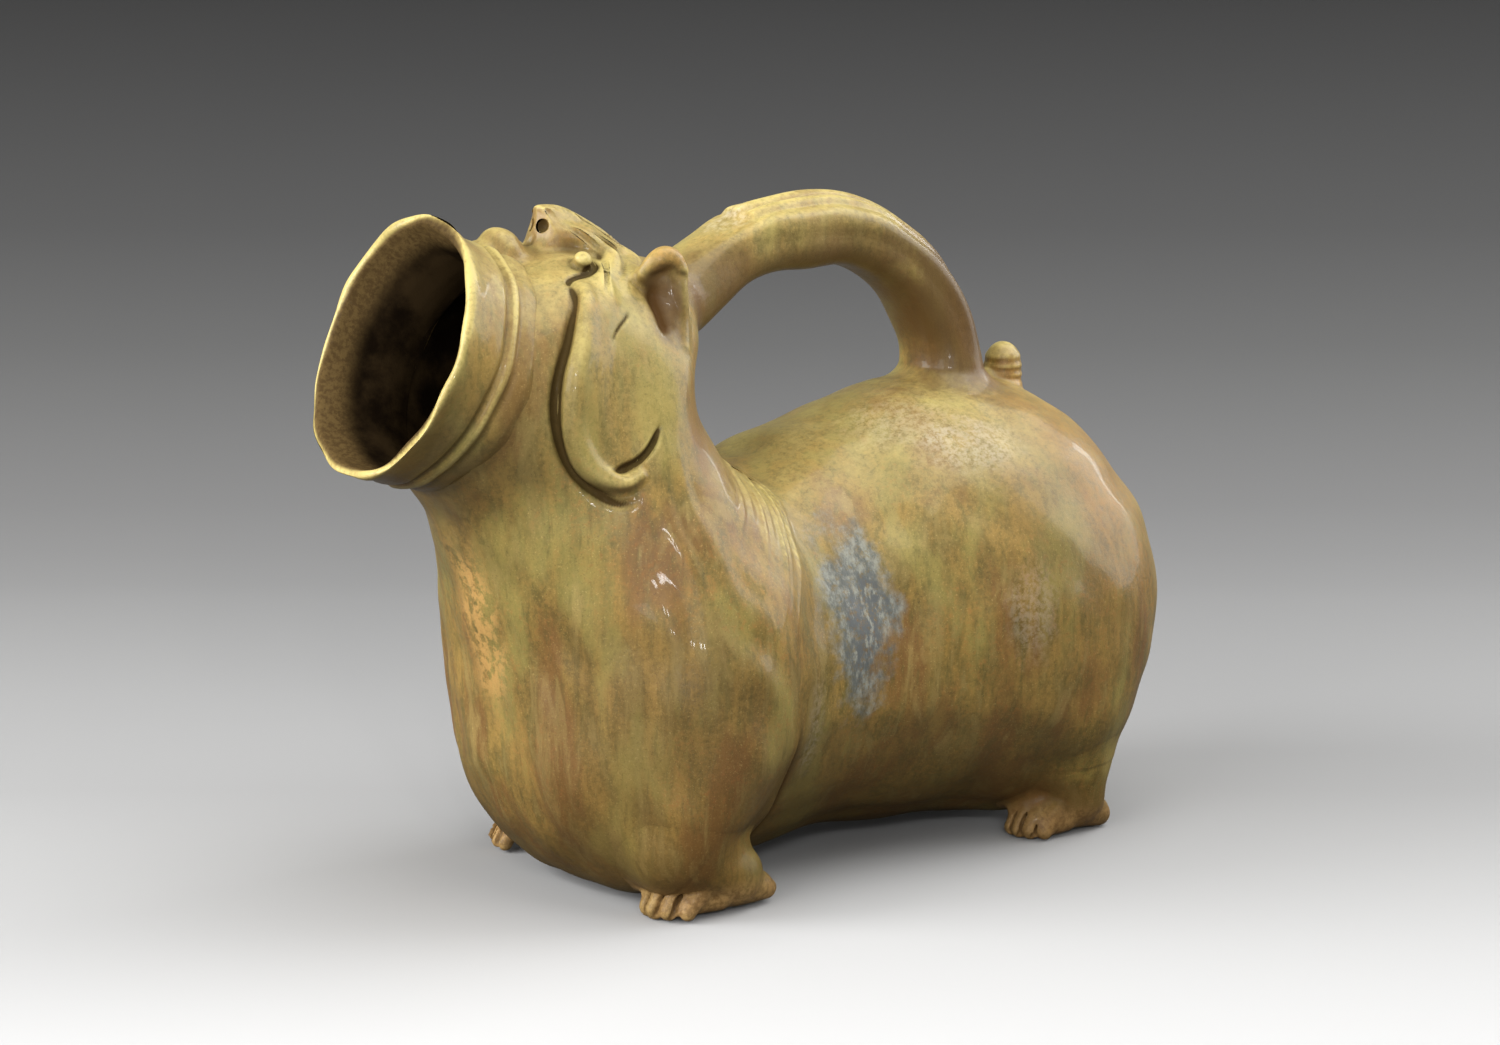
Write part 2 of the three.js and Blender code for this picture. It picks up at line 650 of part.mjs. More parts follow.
const group = new THREE.Group();
const glaze = { color: 0x927c3f, roughness: 0.3, metalness: 0 };
const paleGlaze = { color: 0xa89452, roughness: 0.34, metalness: 0 };
const bareClay = { color: 0xa9763f, roughness: 0.7, metalness: 0 };
function addPiece(name, body, look) {
  const mesh = new THREE.Mesh(geometryFrom(body), new THREE.MeshStandardMaterial(look));
  mesh.name = name;
  group.add(mesh);
}
addPiece("rear_chamber", rearChamber, glaze);
addPiece("front_chamber", frontChamber, glaze);
addPiece("spout", spout, paleGlaze);
addPiece("handle", handle, paleGlaze);
addPiece("handle_crest_strip", strip, paleGlaze);
addPiece("tail_knob", tail, paleGlaze);
addPiece("brow_crest", crest, paleGlaze);
addPiece("nose_knob", noseKnob, paleGlaze);
for (const side of ["left", "right"]) {
  const onSide = (body) => largest((side === "left" ? body : mirrored(body)).subtract(vesselReach));
  addPiece(`foot_front_${side}`, onSide(frontPaw), bareClay);
  addPiece(`foot_rear_${side}`, onSide(rearPaw), bareClay);
  addPiece(`ear_${side}`, onSide(ear), paleGlaze);
  addPiece(`cheek_ridge_${side}`, onSide(ridgeBody(0)), paleGlaze);
  addPiece(`eye_${side}`, onSide(eyeBody(0)), paleGlaze);
}
export default group;
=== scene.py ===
import math

import bpy
import numpy as np
import openvdb as vdb
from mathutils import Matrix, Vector


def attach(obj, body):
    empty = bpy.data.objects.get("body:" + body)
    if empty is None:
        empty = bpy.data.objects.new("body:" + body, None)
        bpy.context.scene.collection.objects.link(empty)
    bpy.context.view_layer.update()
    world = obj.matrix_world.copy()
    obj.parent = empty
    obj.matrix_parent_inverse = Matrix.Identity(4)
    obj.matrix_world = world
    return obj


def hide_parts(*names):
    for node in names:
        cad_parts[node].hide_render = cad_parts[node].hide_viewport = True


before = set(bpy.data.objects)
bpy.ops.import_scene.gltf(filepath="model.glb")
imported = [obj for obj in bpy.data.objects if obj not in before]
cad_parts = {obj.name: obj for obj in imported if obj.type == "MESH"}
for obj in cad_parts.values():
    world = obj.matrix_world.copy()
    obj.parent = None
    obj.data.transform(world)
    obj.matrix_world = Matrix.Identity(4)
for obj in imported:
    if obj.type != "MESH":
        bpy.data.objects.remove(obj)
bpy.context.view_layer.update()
millimetre = 0.001

# Driving sizes, as in the CAD part.
vessel_length = 239.1
back_height = 121.8
head_height = 165
belly_clearance = 2.5
rump_width = 113.2
waist_width = 93
chest_width = 114
neck_width = 79
head_width = 66
rump_depth = 56.5
rump_droop = 5
wall = 5
crease_depth = 2.2
haunch_swell = 6
haunch_angle = math.radians(138)
haunch_spread = math.radians(30)
spout_tilt = math.radians(23)
seat_radius = 30
handle_rise = 29
handle_half_width = 10.5
handle_half_depth = 7.3

# How finely things are stepped, in millimetres, counts and stations of the loft.
voxel = 0.5
body_voxel = 0.8
around_count = 360
row_step = 1.1
face_step = 0.65
face_station = 14.2
inner_rows = 70
spout_around = 300
spout_step = 0.45
rear_pole = 0.015
inner_pole = 0.15
# How far the distance fields read from their surfaces.
body_reach = 6.4
spout_reach = 4
handle_reach = 8
field_limit = 3.0


def spline(values):
    """A natural cubic spline through rows of values at 0, 1, 2, ..."""
    rows = np.asarray(values, float)
    rows = rows.reshape(len(rows), -1)
    last = len(rows) - 1
    bend = np.zeros_like(rows)
    system = 4 * np.eye(last - 1) + np.eye(last - 1, k=1) + np.eye(last - 1, k=-1)
    bend[1:-1] = np.linalg.solve(system, 6 * (rows[2:] - 2 * rows[1:-1] + rows[:-2]))

    def at(t):
        t = np.asarray(t, float)
        i = np.clip(np.floor(t).astype(int), 0, last - 1)
        b = (t - i)[..., None]
        a = 1 - b
        curve = ((a**3 - a) * bend[i] + (b**3 - b) * bend[i + 1]) / 6
        return a * rows[i] + b * rows[i + 1] + curve

    return at


def along(values):
    """The same spline, read by a share from 0 to 1 of its run."""
    curve = spline(values)
    return lambda share: curve(np.asarray(share, float) * (len(values) - 1))


def bump(x, centre, spread):
    return np.exp(-(((x - centre) / spread) ** 2))


def smooth_step(x, low, high):
    t = np.clip((x - low) / (high - low), 0, 1)
    return t * t * (3 - 2 * t)


def unit(v):
    return v / np.maximum(np.linalg.norm(v, axis=-1, keepdims=True), 1e-9)


# The loft's sections: a top point, a bottom point and a half width, from the rump to the spout's seat.
half_length = vessel_length / 2
rump_x = half_length - rump_depth
rump_middle = (back_height + belly_clearance) / 2
rump_half_height = (back_height - belly_clearance) / 2
dome_power = 2 / 2.3
sections = []
for share in [0, 0.16, 0.36, 0.58, 0.8]:
    turn = (1 - share) * math.pi / 2
    x = rump_x + rump_depth * math.sin(turn) ** dome_power
    size = math.cos(turn) ** dome_power if share > 0 else 0
    middle = rump_middle - rump_droop * (1 - size)
    reach = rump_half_height * size
    sections.append([x, middle + reach, x, middle - reach, rump_width / 2 * size])


def mix_width(a, b, share):
    return (a + (b - a) * share) / 2


back_shares = [
    [rump_x / half_length, 1, rump_x / half_length, 0, rump_width / 2],
    [0.345, 0.993, 0.355, 0.008, mix_width(rump_width, waist_width, 0.25)],
    [0.178, 0.942, 0.16, 0.02, mix_width(rump_width, waist_width, 0.75)],
    [0.045, 0.905, 0, 0.02, waist_width / 2],
    [-0.06, 0.874, -0.158, 0, mix_width(waist_width, chest_width, 0.25)],
]
chest_shares = [
    [-0.112, 0.642, -0.376, -0.004, mix_width(waist_width, chest_width, 0.83)],
    [-0.15, 0.664, -0.528, 0.026, chest_width / 2],
    [-0.189, 0.69, -0.637, 0.121, mix_width(chest_width, neck_width, 0.17)],
    [-0.225, 0.726, -0.678, 0.253, mix_width(chest_width, neck_width, 0.4)],
    [-0.25, 0.775, -0.698, 0.375, mix_width(chest_width, neck_width, 0.74)],
    [-0.243, 0.843, -0.735, 0.489, neck_width / 2],
    [-0.224, 0.911, -0.762, 0.545, mix_width(neck_width, head_width, 0.45)],
    [-0.292, 0.963, -0.786, 0.587, mix_width(neck_width, head_width, 0.85)],
    [-0.426, 0.994, -0.811, 0.618, head_width / 2],
    [-0.545, 1, -0.824, 0.634, mix_width(head_width, 2 * seat_radius, 0.5)],
]
seat_shares = [-0.738, 0.8135]


def height_at(share, height):
    return belly_clearance + share * (height - belly_clearance)


for rows, height in [(back_shares, back_height), (chest_shares, head_height)]:
    for top_x, top_z, bottom_x, bottom_z, half in rows:
        ends = [top_x * half_length, height_at(top_z, height), bottom_x * half_length]
        sections.append([*ends, height_at(bottom_z, height), half])
seat_x = seat_shares[0] * half_length
seat_z = height_at(seat_shares[1], head_height)
reach_x = seat_radius * math.sin(spout_tilt)
reach_z = seat_radius * math.cos(spout_tilt)
sections.append([seat_x + reach_x, seat_z + reach_z, seat_x - reach_x, seat_z - reach_z, seat_radius])
loft_curve = spline(sections)
last_station = len(sections) - 1
rump_station = 5
chest_station = 10
neck_station = 15
seam_station = 9.4


# Folds of the shoulder: station, degrees from the top, half width in stations, reach in degrees, height.
shoulder_folds = [
    [9.55, 30, 0.07, 18, 0.5], [9.8, 44, 0.06, 20, 0.7], [10.08, 30, 0.08, 20, 0.8],
    [10.4, 44, 0.07, 16, 0.6], [10.75, 26, 0.1, 18, 0.8], [11.15, 40, 0.12, 18, 0.6],
    [11.6, 34, 0.14, 16, 0.5], [12.1, 46, 0.12, 14, 0.4],
]


def relief(u, a):
    """Height of the low relief over the loft: haunches, the crease, folds of the shoulder and flutes."""
    turn = np.abs(np.arctan2(np.sin(a), np.cos(a)))
    degrees = np.degrees(turn)
    swell = bump(u, rump_station - 0.8, 1) + bump(u, chest_station + 0.5, 0.9)
    height = haunch_swell * swell * bump(turn, haunch_angle, haunch_spread)
    height = height - crease_depth * bump(u, chest_station - 0.8, 0.6) * np.sin(a) ** 2
    for station, centre, thin, reach, rise in shoulder_folds:
        bent = station + 0.006 * (degrees - centre) + 0.03 * np.sin(degrees * 0.2 + station * 9)
        height = height + rise * bump(u, bent, thin) * bump(degrees, centre, reach)
    chest = smooth_step(degrees, 55, 85) * (1 - smooth_step(degrees, 150, 170))
    chest = chest * smooth_step(u, 9.8, 10.8) * (1 - smooth_step(u, 13.6, 15))
    chest = chest * (0.6 + 0.4 * np.sin(7 * turn + 2.1 * u))
    height = height + 0.5 * chest * np.sin(turn * 21 + 0.7 * np.sin(3 * u) + 1.3 * np.sin(5 * turn))
    flank = np.sin(a) ** 2
    height = height - 0.9 * flank * bump(u, 5.85 + 0.1 * np.sin(2 * turn), 0.28)
    bands = np.sin(2 * math.pi * u / 0.83 + 1.2 * np.sin(2 * turn))
    return height + 0.22 * flank * bump(u, 6.4, 2.2) * bands


def loft_plain(u, a):
    u, a = np.broadcast_arrays(np.asarray(u, float), np.asarray(a, float))
    top_x, top_z, bottom_x, bottom_z, half = np.moveaxis(loft_curve(np.clip(u, 0, last_station)), -1, 0)
    lift = (1 + np.cos(a)) / 2
    x = bottom_x + (top_x - bottom_x) * lift
    z = bottom_z + (top_z - bottom_z) * lift
    return np.stack([x, np.maximum(half, 0) * np.sin(a), z], -1)


def loft_normal(u, a):
    u, a = np.broadcast_arrays(np.asarray(u, float), np.asarray(a, float))
    step = 0.02
    t = np.minimum(u, last_station - step)
    forward = loft_plain(t + step, a) - loft_plain(np.maximum(t - step, 0), a)
    sideways = loft_plain(u, a + step) - loft_plain(u, a - step)
    normal = unit(np.cross(sideways, forward))
    normal[u < step] = [1, 0, 0]
    return normal


def on_vessel(u, degrees, offset=0.0):
    """Points on the vessel's outside. Degrees turn from the top line, below zero on the animal's left."""
    u, degrees, offset = np.broadcast_arrays(*(np.asarray(v, float) for v in (u, degrees, offset)))
    a = np.radians(degrees)
    return loft_plain(u, a) + loft_normal(u, a) * (relief(u, a) + offset)[..., None]


def ring_faces(rings, count):
    """Quads between rings of equal count, each ring joined to the one after it."""
    i = np.arange(count)
    j = (i + 1) % count
    quads = [
        np.stack([start + i, start + j, following + j, following + i], -1)
        for start, following in zip(rings[:-1], rings[1:])
    ]
    return np.concatenate(quads)


def level_set(points, quads, tris, size, reach):
    """A distance field of a closed mesh: lowest voxel, voxel size and values, negative inside."""
    transform = vdb.createLinearTransform(voxelSize=size)
    triangles = np.concatenate([quads[:, [0, 1, 2]], quads[:, [0, 2, 3]], tris])
    grid = vdb.FloatGrid.createLevelSetFromPolygons(
        np.ascontiguousarray(points, np.float32),
        triangles=np.ascontiguousarray(triangles, np.uint32),
        transform=transform,
        halfWidth=reach / size,
    )
    low, high = grid.evalActiveVoxelBoundingBox()
    low = np.array(low) - 1
    shape = np.array(high) - low + 2
    values = np.full(shape, reach, np.float32)
    grid.copyToArray(values, ijk=tuple(int(v) for v in low))
    return {"low": low, "size": size, "values": values, "far": reach}


def sample(field, points):
    """Trilinear reading of a field, with its far value outside it."""
    values = field["values"]
    place = points / field["size"] - field["low"]
    limit = np.array(values.shape) - 1
    inside = np.all((place >= 0) & (place < limit), -1)
    out = np.full(points.shape[:-1], field["far"], np.float32)
    if not inside.any():
        return out
    p = place[inside]
    cell = np.floor(p).astype(np.int64)
    f = (p - cell).astype(np.float32)
    strides = (values.shape[1] * values.shape[2], values.shape[2], 1)
    flat = values.reshape(-1)
    start = cell[:, 0] * strides[0] + cell[:, 1] * strides[1] + cell[:, 2]
    total = np.zeros(len(p), np.float32)
    for corner in range(8):
        bits = [(corner >> axis) & 1 for axis in range(3)]
        weight = np.ones(len(p), np.float32)
        shift = 0
        for axis in range(3):
            weight *= f[:, axis] if bits[axis] else 1 - f[:, axis]
            shift += bits[axis] * strides[axis]
        total += weight * flat[start + shift]
    out[inside] = total
    return out


def blend(a, b, reach):
    h = np.maximum(reach - np.abs(a - b), 0) / reach
    return np.minimum(a, b) - h * h * reach / 4


# The walls: rings down the loft, about a millimetre apart.
def stations_between(start, end, step):
    fine = np.linspace(start, end, 2000)
    reach = np.zeros(len(fine) - 1)
    for degrees in (0, 90, 180):
        points = loft_plain(fine, math.radians(degrees))
        reach = np.maximum(reach, np.linalg.norm(np.diff(points, axis=0), axis=1))
    run = np.concatenate([[0], np.cumsum(reach)])
    count = int(run[-1] / step) + 1
    return np.interp(np.linspace(0, run[-1], count + 1), run, fine)


turns = np.arange(around_count) / around_count * 360


def ring_points(stations, offset):
    return on_vessel(stations[:, None], turns[None, :], offset)


rear_stations = stations_between(rear_pole, seam_station, row_step)
shoulder_stations = stations_between(seam_station, face_station, row_step)
face_stations = stations_between(face_station, last_station, face_step)
front_stations = np.concatenate([shoulder_stations, face_stations[1:]])
rear_outer = ring_points(rear_stations, 0)
front_outer = ring_points(front_stations, 0)
inner_stations = np.linspace(inner_pole, last_station, inner_rows)
rear_rows = inner_stations[inner_stations < seam_station]
front_rows = inner_stations[inner_stations > seam_station]
rear_inner = ring_points(np.append(rear_rows, seam_station)[::-1], -wall)
front_inner = ring_points(np.append(front_rows[::-1], seam_station), -wall)


def closed_rings(rings, fans=True):
    """Points, quads and triangles through rings. fans closes each end on a point, else the ends join."""
    count = rings.shape[1]
    points = rings.reshape(-1, 3)
    starts = list(np.arange(len(rings)) * count)
    if not fans:
        return points, ring_faces([*starts, starts[0]], count), np.zeros((0, 3), int)
    i = np.arange(count)
    j = (i + 1) % count
    hub = len(points)
    first = np.stack([np.full(count, hub), j, i], -1)
    last = np.stack([np.full(count, hub + 1), starts[-1] + i, starts[-1] + j], -1)
    points = np.concatenate([points, rings[0].mean(0)[None], rings[-1].mean(0)[None]])
    return points, ring_faces(starts, count), np.concatenate([first, last])


# The spout: a thrown ring about its own axis, with a cord between two grooves and a rounded lip.
spout_axis = np.array([-math.cos(spout_tilt), 0, math.sin(spout_tilt)])
spout_up = np.array([math.sin(spout_tilt), 0, math.cos(spout_tilt)])
spout_side = np.array([0.0, 1.0, 0.0])
spout_seat = np.array([seat_x, 0, seat_z])
# Each row: radius and distance along the axis.
spout_profile = [
    [25.6, -3.4], [29, -3.4], [29.6, -1.2], [30.05, -0.2], [30, 2.4], [29.7, 3.3], [29.3, 4], [29.7, 4.6],
    [30.6, 5.3], [31.1, 6.2], [30.8, 7], [29.9, 7.6], [29.4, 8.2], [29.8, 8.8], [30.9, 9.6], [31.2, 11.3],
    [31.3, 13.5], [31.8, 16], [32.7, 18.4], [33.3, 19.9], [33.2, 20.8], [32.3, 21.2], [31.2, 20.7],
    [30.4, 19.6], [29.4, 16.6], [27.8, 12.5], [26.4, 8], [25.4, 3.4], [25.2, 0.4],
]


def spout_rings():
    """Rings of the spout, with 1 for the rings of its inside and 0 for the others."""
    closed = [*spout_profile, spout_profile[0]]
    rows = []
    for a, b in zip(closed[:-1], closed[1:]):
        count = max(int(math.dist(a, b) / spout_step), 1)
        rows += [np.array(a) + (np.array(b) - a) * k / count for k in range(count)]
    rows = np.array(rows)
    for _ in range(2):
        rows = (np.roll(rows, 1, 0) + 2 * rows + np.roll(rows, -1, 0)) / 4
    t = np.arange(spout_around) / spout_around * 2 * math.pi
    radius = rows[:, :1] * np.ones_like(t)
    run = rows[:, 1:] * np.ones_like(t)
    ahead = smooth_step(run, 8, 20)
    radius = radius + ahead * (0.5 * np.sin(2 * t + 0.6) + 0.25 * np.sin(5 * t + 2) + 0.12 * np.sin(11 * t))
    run = run + ahead * (0.5 * np.sin(2 * t + 2.4) + 0.3 * np.sin(3 * t + 0.4) + 0.12 * np.sin(13 * t + 1))
    points = spout_seat + run[..., None] * spout_axis
    ring = np.cos(t)[:, None] * spout_up + np.sin(t)[:, None] * spout_side
    beyond_lip = np.arange(len(rows)) - np.argmax(rows[:, 1])
    return points + radius[..., None] * ring, np.clip((beyond_lip - 1) / 3, 0, 1)


spout_points, spout_inside = spout_rings()
spout_flat, spout_quads, spout_tris = closed_rings(spout_points, False)
spout_quads = spout_quads[:, ::-1]


# A field made of rolls of clay: round cones along a path.
def roll(path, radii, count=30):
    """A chain of balls along a spline through path, with a radius at each of its points."""
    rows = np.concatenate([np.asarray(path, float), np.asarray(radii, float)[:, None]], 1)
    return along(rows)(np.linspace(0, 1, count))


def roll_values(first, shape, size, balls, far):
    """The field of a roll on a box of voxels, worked out only near the roll."""
    values = np.full(shape, far, np.float32)
    axes = [(np.arange(n) + start) * size for n, start in zip(shape, first)]
    for a, b in zip(balls[:-1], balls[1:]):
        thick = max(a[3], b[3]) + far
        low = np.floor((np.minimum(a[:3], b[:3]) - thick) / size - first).astype(int)
        high = np.ceil((np.maximum(a[:3], b[:3]) + thick) / size - first).astype(int) + 1
        cut = tuple(slice(max(i, 0), min(j, n)) for i, j, n in zip(low, high, shape))
        x, y, z = np.ix_(*(axis[piece] for axis, piece in zip(axes, cut)))
        step = b[:3] - a[:3]
        square = max(step @ step, 1e-6)
        dx, dy, dz = x - a[0], y - a[1], z - a[2]
        run = dx * step[0] + dy * step[1] + dz * step[2]
        t = np.clip(run / square, 0, 1)
        gap = np.maximum(dx * dx + dy * dy + dz * dz - 2 * t * run + t * t * square, 0)
        gap = np.sqrt(gap) - a[3] - t * (b[3] - a[3])
        values[cut] = np.minimum(values[cut], gap)
    return values


def field_of(rolls, reach=2.0, size=voxel, margin=4.0, cuts=(), cut_reach=1.0):
    """A field of several rolls run together, with other rolls carved out of it."""
    balls = np.concatenate(rolls)
    low = (balls[:, :3] - balls[:, 3:] - margin).min(0)
    high = (balls[:, :3] + balls[:, 3:] + margin).max(0)
    first = np.floor(low / size).astype(int)
    shape = np.ceil(high / size).astype(int) - first + 1
    values = roll_values(first, shape, size, rolls[0], margin)
    for other in rolls[1:]:
        values = blend(values, roll_values(first, shape, size, other, margin), reach)
    for hollow in cuts:
        values = -blend(-values, roll_values(first, shape, size, hollow, margin), cut_reach)
    return {"low": first, "size": size, "values": values.astype(np.float32), "far": margin}


# Handle: shares of the span between its roots, and of its rise above the line through them.
handle_shares = [
    [-0.13, -0.3], [0.04, 0.02], [0.187, 0.44], [0.324, 0.7], [0.462, 0.875], [0.622, 0.99], [0.765, 0.95],
    [0.887, 0.76], [0.966, 0.47], [0.998, 0.12], [1, -0.35],
]
handle_roots = on_vessel(np.array([neck_station + 1.0, rump_station]), 0)
handle_curve = along(handle_shares)
left = np.array([0.0, -1.0, 0.0])


def handle_path(t):
    shares = handle_curve(t)
    points = handle_roots[0] + (handle_roots[1] - handle_roots[0]) * shares[..., :1]
    points[..., 2] += handle_rise * shares[..., 1]
    return points


def handle_out(t):
    """Directions out of the handle's back."""
    step = 0.004
    forward = unit(handle_path(np.minimum(t + step, 1)) - handle_path(np.maximum(t - step, 0)))
    return np.cross(left, forward)


# The power of the handle's section: 2 is an ellipse, and more is squarer.
section_power = 2.5


def rounded(value):
    """A cosine or sine of the section's turn, taken from a circle towards a square."""
    return (np.sign(value) * np.abs(value) ** (2 / section_power))[None, :, None]


def handle_section(t, width, depth, steps=56):
    """Rings of a rounded section along the handle. width and depth are arrays along t."""
    turn = np.arange(steps) / steps * 2 * math.pi
    across = rounded(np.cos(turn)) * width[:, None, None] * left
    upward = rounded(np.sin(turn)) * depth[:, None, None] * handle_out(t)[:, None, :]
    return handle_path(t)[:, None] + across + upward


handle_t = np.linspace(0, 1, 150)
root_flare = 1 + 0.3 * bump(handle_t, 0, 0.14) + 0.3 * bump(handle_t, 1, 0.12)
handle_width = (handle_half_width - 0.5) * root_flare
handle_rings = handle_section(handle_t, handle_width, handle_half_depth * root_flare)


def handle_roll(shares, side, up, radii):
    """A roll that follows the handle at a distance to its left and above its middle."""
    t = np.asarray(shares, float)
    side, up = (np.broadcast_to(np.asarray(v, float), t.shape) for v in (side, up))
    points = handle_path(t) + side[:, None] * left + up[:, None] * handle_out(t)
    return roll(points, np.broadcast_to(np.asarray(radii, float), t.shape), 60)


edge_t = np.linspace(0.12, 0.9, 9)
edge_radii = [1.4, 2.2, 2.6, 2.8, 2.8, 2.8, 2.7, 2.4, 1.6]
edge_heights = [4.2, *[4.3] * 7, 4]
edge_rolls = [handle_roll(edge_t, side, edge_heights, edge_radii) for side in (-7.4, 7.4)]
strip_t = np.linspace(0.265, 0.87, 8)
strip_start = np.array([0.268])
strip_end = (handle_path(strip_start) + 6.6 * handle_out(strip_start))[0]
strip_middle = [7.9, 8.5, 8.6, 8.6, 8.6, 8.4, 7.8, 6.4]
strip_sides = [7.4, 7.8, 7.8, 7.7, 7.7, 7.5, 7, 6]
strip_rolls = [
    roll([strip_end + 4.6 * left, strip_end + [-0.8, 0, -0.4], strip_end - 4.6 * left], [2, 2.7, 2], 12),
    handle_roll(strip_t, 0, strip_middle, [2.3, 2.7, 2.7, 2.7, 2.7, 2.6, 2.3, 1.4]),
]
for side in (-4.3, 4.3):
    side_radii = [1.9, 2.2, 2.2, 2.2, 2.2, 2.1, 1.8, 1.2]
    strip_rolls.append(handle_roll(strip_t + 0.004, side, strip_sides, side_radii))


def on_head(rows, sink):
    """Points on the head from rows of station and degrees, sunk under the surface."""
    rows = np.asarray(rows, float)
    return on_vessel(rows[:, 0], rows[:, 1], -np.asarray(sink, float))


def half_sunk(rows):
    """A roll sunk in the surface, from rows of station, degrees, width and height above the surface."""
    rows = np.array(rows)
    width, height = rows[:, 2], rows[:, 3]
    radius = (height**2 + (width / 2) ** 2) / (2 * height)
    return roll(on_head(rows, radius - height), radius, 130)


# Cheek ridges: a hooked roll, and a lower one that fills its back.
ridge_rows = [
    [18.68, -46, 3.5, 1.1], [18.65, -54, 4.8, 2], [18.6, -64.5, 5.8, 2.4], [18.5, -74.5, 6.6, 2.7],
    [18.38, -85, 7, 2.8], [18.12, -94.5, 7.2, 2.9], [17.72, -102.5, 7.2, 2.9], [17.15, -108.5, 7, 2.9],
    [16.55, -110.5, 6.6, 2.8], [16.1, -108.8, 6.2, 2.6], [15.68, -105, 5.4, 2.2], [15.4, -100, 4.4, 1.8],
    [15.28, -94.5, 3.2, 1.1],
]
ridge_back_rows = [
    [18.36, -50, 4, 0.25], [18.3, -60, 6.5, 0.8], [18.2, -72, 7.5, 1.1], [18, -83, 8, 1.2],
    [17.66, -93, 8, 1.2], [17.2, -100, 7, 1], [16.7, -103.5, 6, 0.6], [16.2, -104, 4, 0.2],
]
ridge_rolls = [half_sunk(ridge_rows), half_sunk(ridge_back_rows)]

# Eyes: flattened pellets with a dimple.
eye_at = on_head([[18.62, -30]], [0])[0]
eye_out = loft_normal(np.array([18.6]), np.radians([-27]))[0]
eye_look = unit(np.array([-0.35, -0.72, 0.6]))
eye_middle = eye_at + 0.5 * eye_out
eye_rolls = [roll([eye_at - 1.5 * eye_out, eye_middle, eye_middle + 0.4 * eye_look], [2.7, 3, 2.8], 8)]
eye_cuts = [roll([eye_middle + 3.5 * eye_look, eye_middle + 4.6 * eye_look], [0.5, 0.8], 4)]

nose_ball = on_head([[19.95, 0]], [0])[0] + np.array([0.2, 0, 1.9])
nose_rolls = [roll([nose_ball + [0, -2.8, -1], nose_ball, nose_ball + [0, 2.8, -1]], [4.6, 5.4, 4.6], 12)]

# Tail: a ribbed stub.
tail_foot = on_vessel(np.array([rump_station - 1.15]), 0)[0]
tail_rolls = [
    roll([tail_foot + [-1.6, 0, -3], tail_foot + [-1, 0, 3], tail_foot + [-0.8, 0, 7.2]], [5.6, 5, 4.7], 12),
    roll([tail_foot + [-9, 0, 2], tail_foot + [-1.5, 0, 1]], [2.8, 4.2], 6),
]
for height, reach_out in [(0.2, 5), (2.8, 4.8), (5.3, 4.6), (7.7, 4)]:
    circle = np.linspace(0, 2 * math.pi, 17)[:, None]
    around = np.cos(circle) * [1, 0, 0] + np.sin(circle) * [0, 1, 0]
    hoop = tail_foot + [-0.9, 0, height] + reach_out * around
    tail_rolls.append(roll(hoop, np.full(17, 0.6), 24))

# Snout and brows: a ridge along the top of the head, lifted over two nostrils, with pleats down each side.
crest_line = [(-64, 171.4), (-59.6, 169.9), (-54, 165.9), (-49, 163), (-44.5, 160), (-39.5, 156.6)]
crest_rolls = [roll([[x, 0, z] for x, z in crest_line], [3.7, 4.5, 5, 4.8, 4.4, 3], 40)]
crest_cuts = [roll([[-77.2, -12, 173], [-80.7, 0, 173], [-77.2, 12, 173]], [14, 14, 14], 16)]


def mirrored(rows, side):
    """Points given for the animal's right, moved to the side that is 1 for the right and -1 for the left."""
    return [[x, y * side, z] for x, y, z in rows]


# Rolls: points, then stations and degrees on the head, then radii and count.
crest_folds = [
    ([[-64.4, 2.8, 164.8], [-65, 2.6, 168], [-64.6, 1.6, 171.2]], [], [], [3, 2.9, 2.6], 16),
    ([[-66.8, 3.2, 165.2], [-63, 5, 165.4]], [], [], [1.7, 2.2], 8),
    (
        [[-63, 4, 167.6], [-58, 6.4, 166.4], [-53.4, 8.6, 163.4], [-52, 12.6, 160.2]],
        *([18.2, 18.15, 18.15], [38, 47, 57], [3, 3.6, 3.8, 3.6, 3.4, 3, 2.2], 50),
    ),
    (
        [[-53, 4, 165.4], [-48, 7, 161.8], [-45.6, 11, 158.6]],
        *([17.75, 17.75], [34, 46], [3.6, 3.6, 3.4, 3, 2.2], 40),
    ),
]
nostrils = [
    ([[-68.6, 6.6, 170.8], [-65.8, 2.6, 169.4]], [1.1, 0.75], 6),
    ([[-69.5, 2, 163.7], [-66, 5.6, 163.4], [-62.4, 8.4, 164]], [0.6, 0.7, 0.4], 12),
]
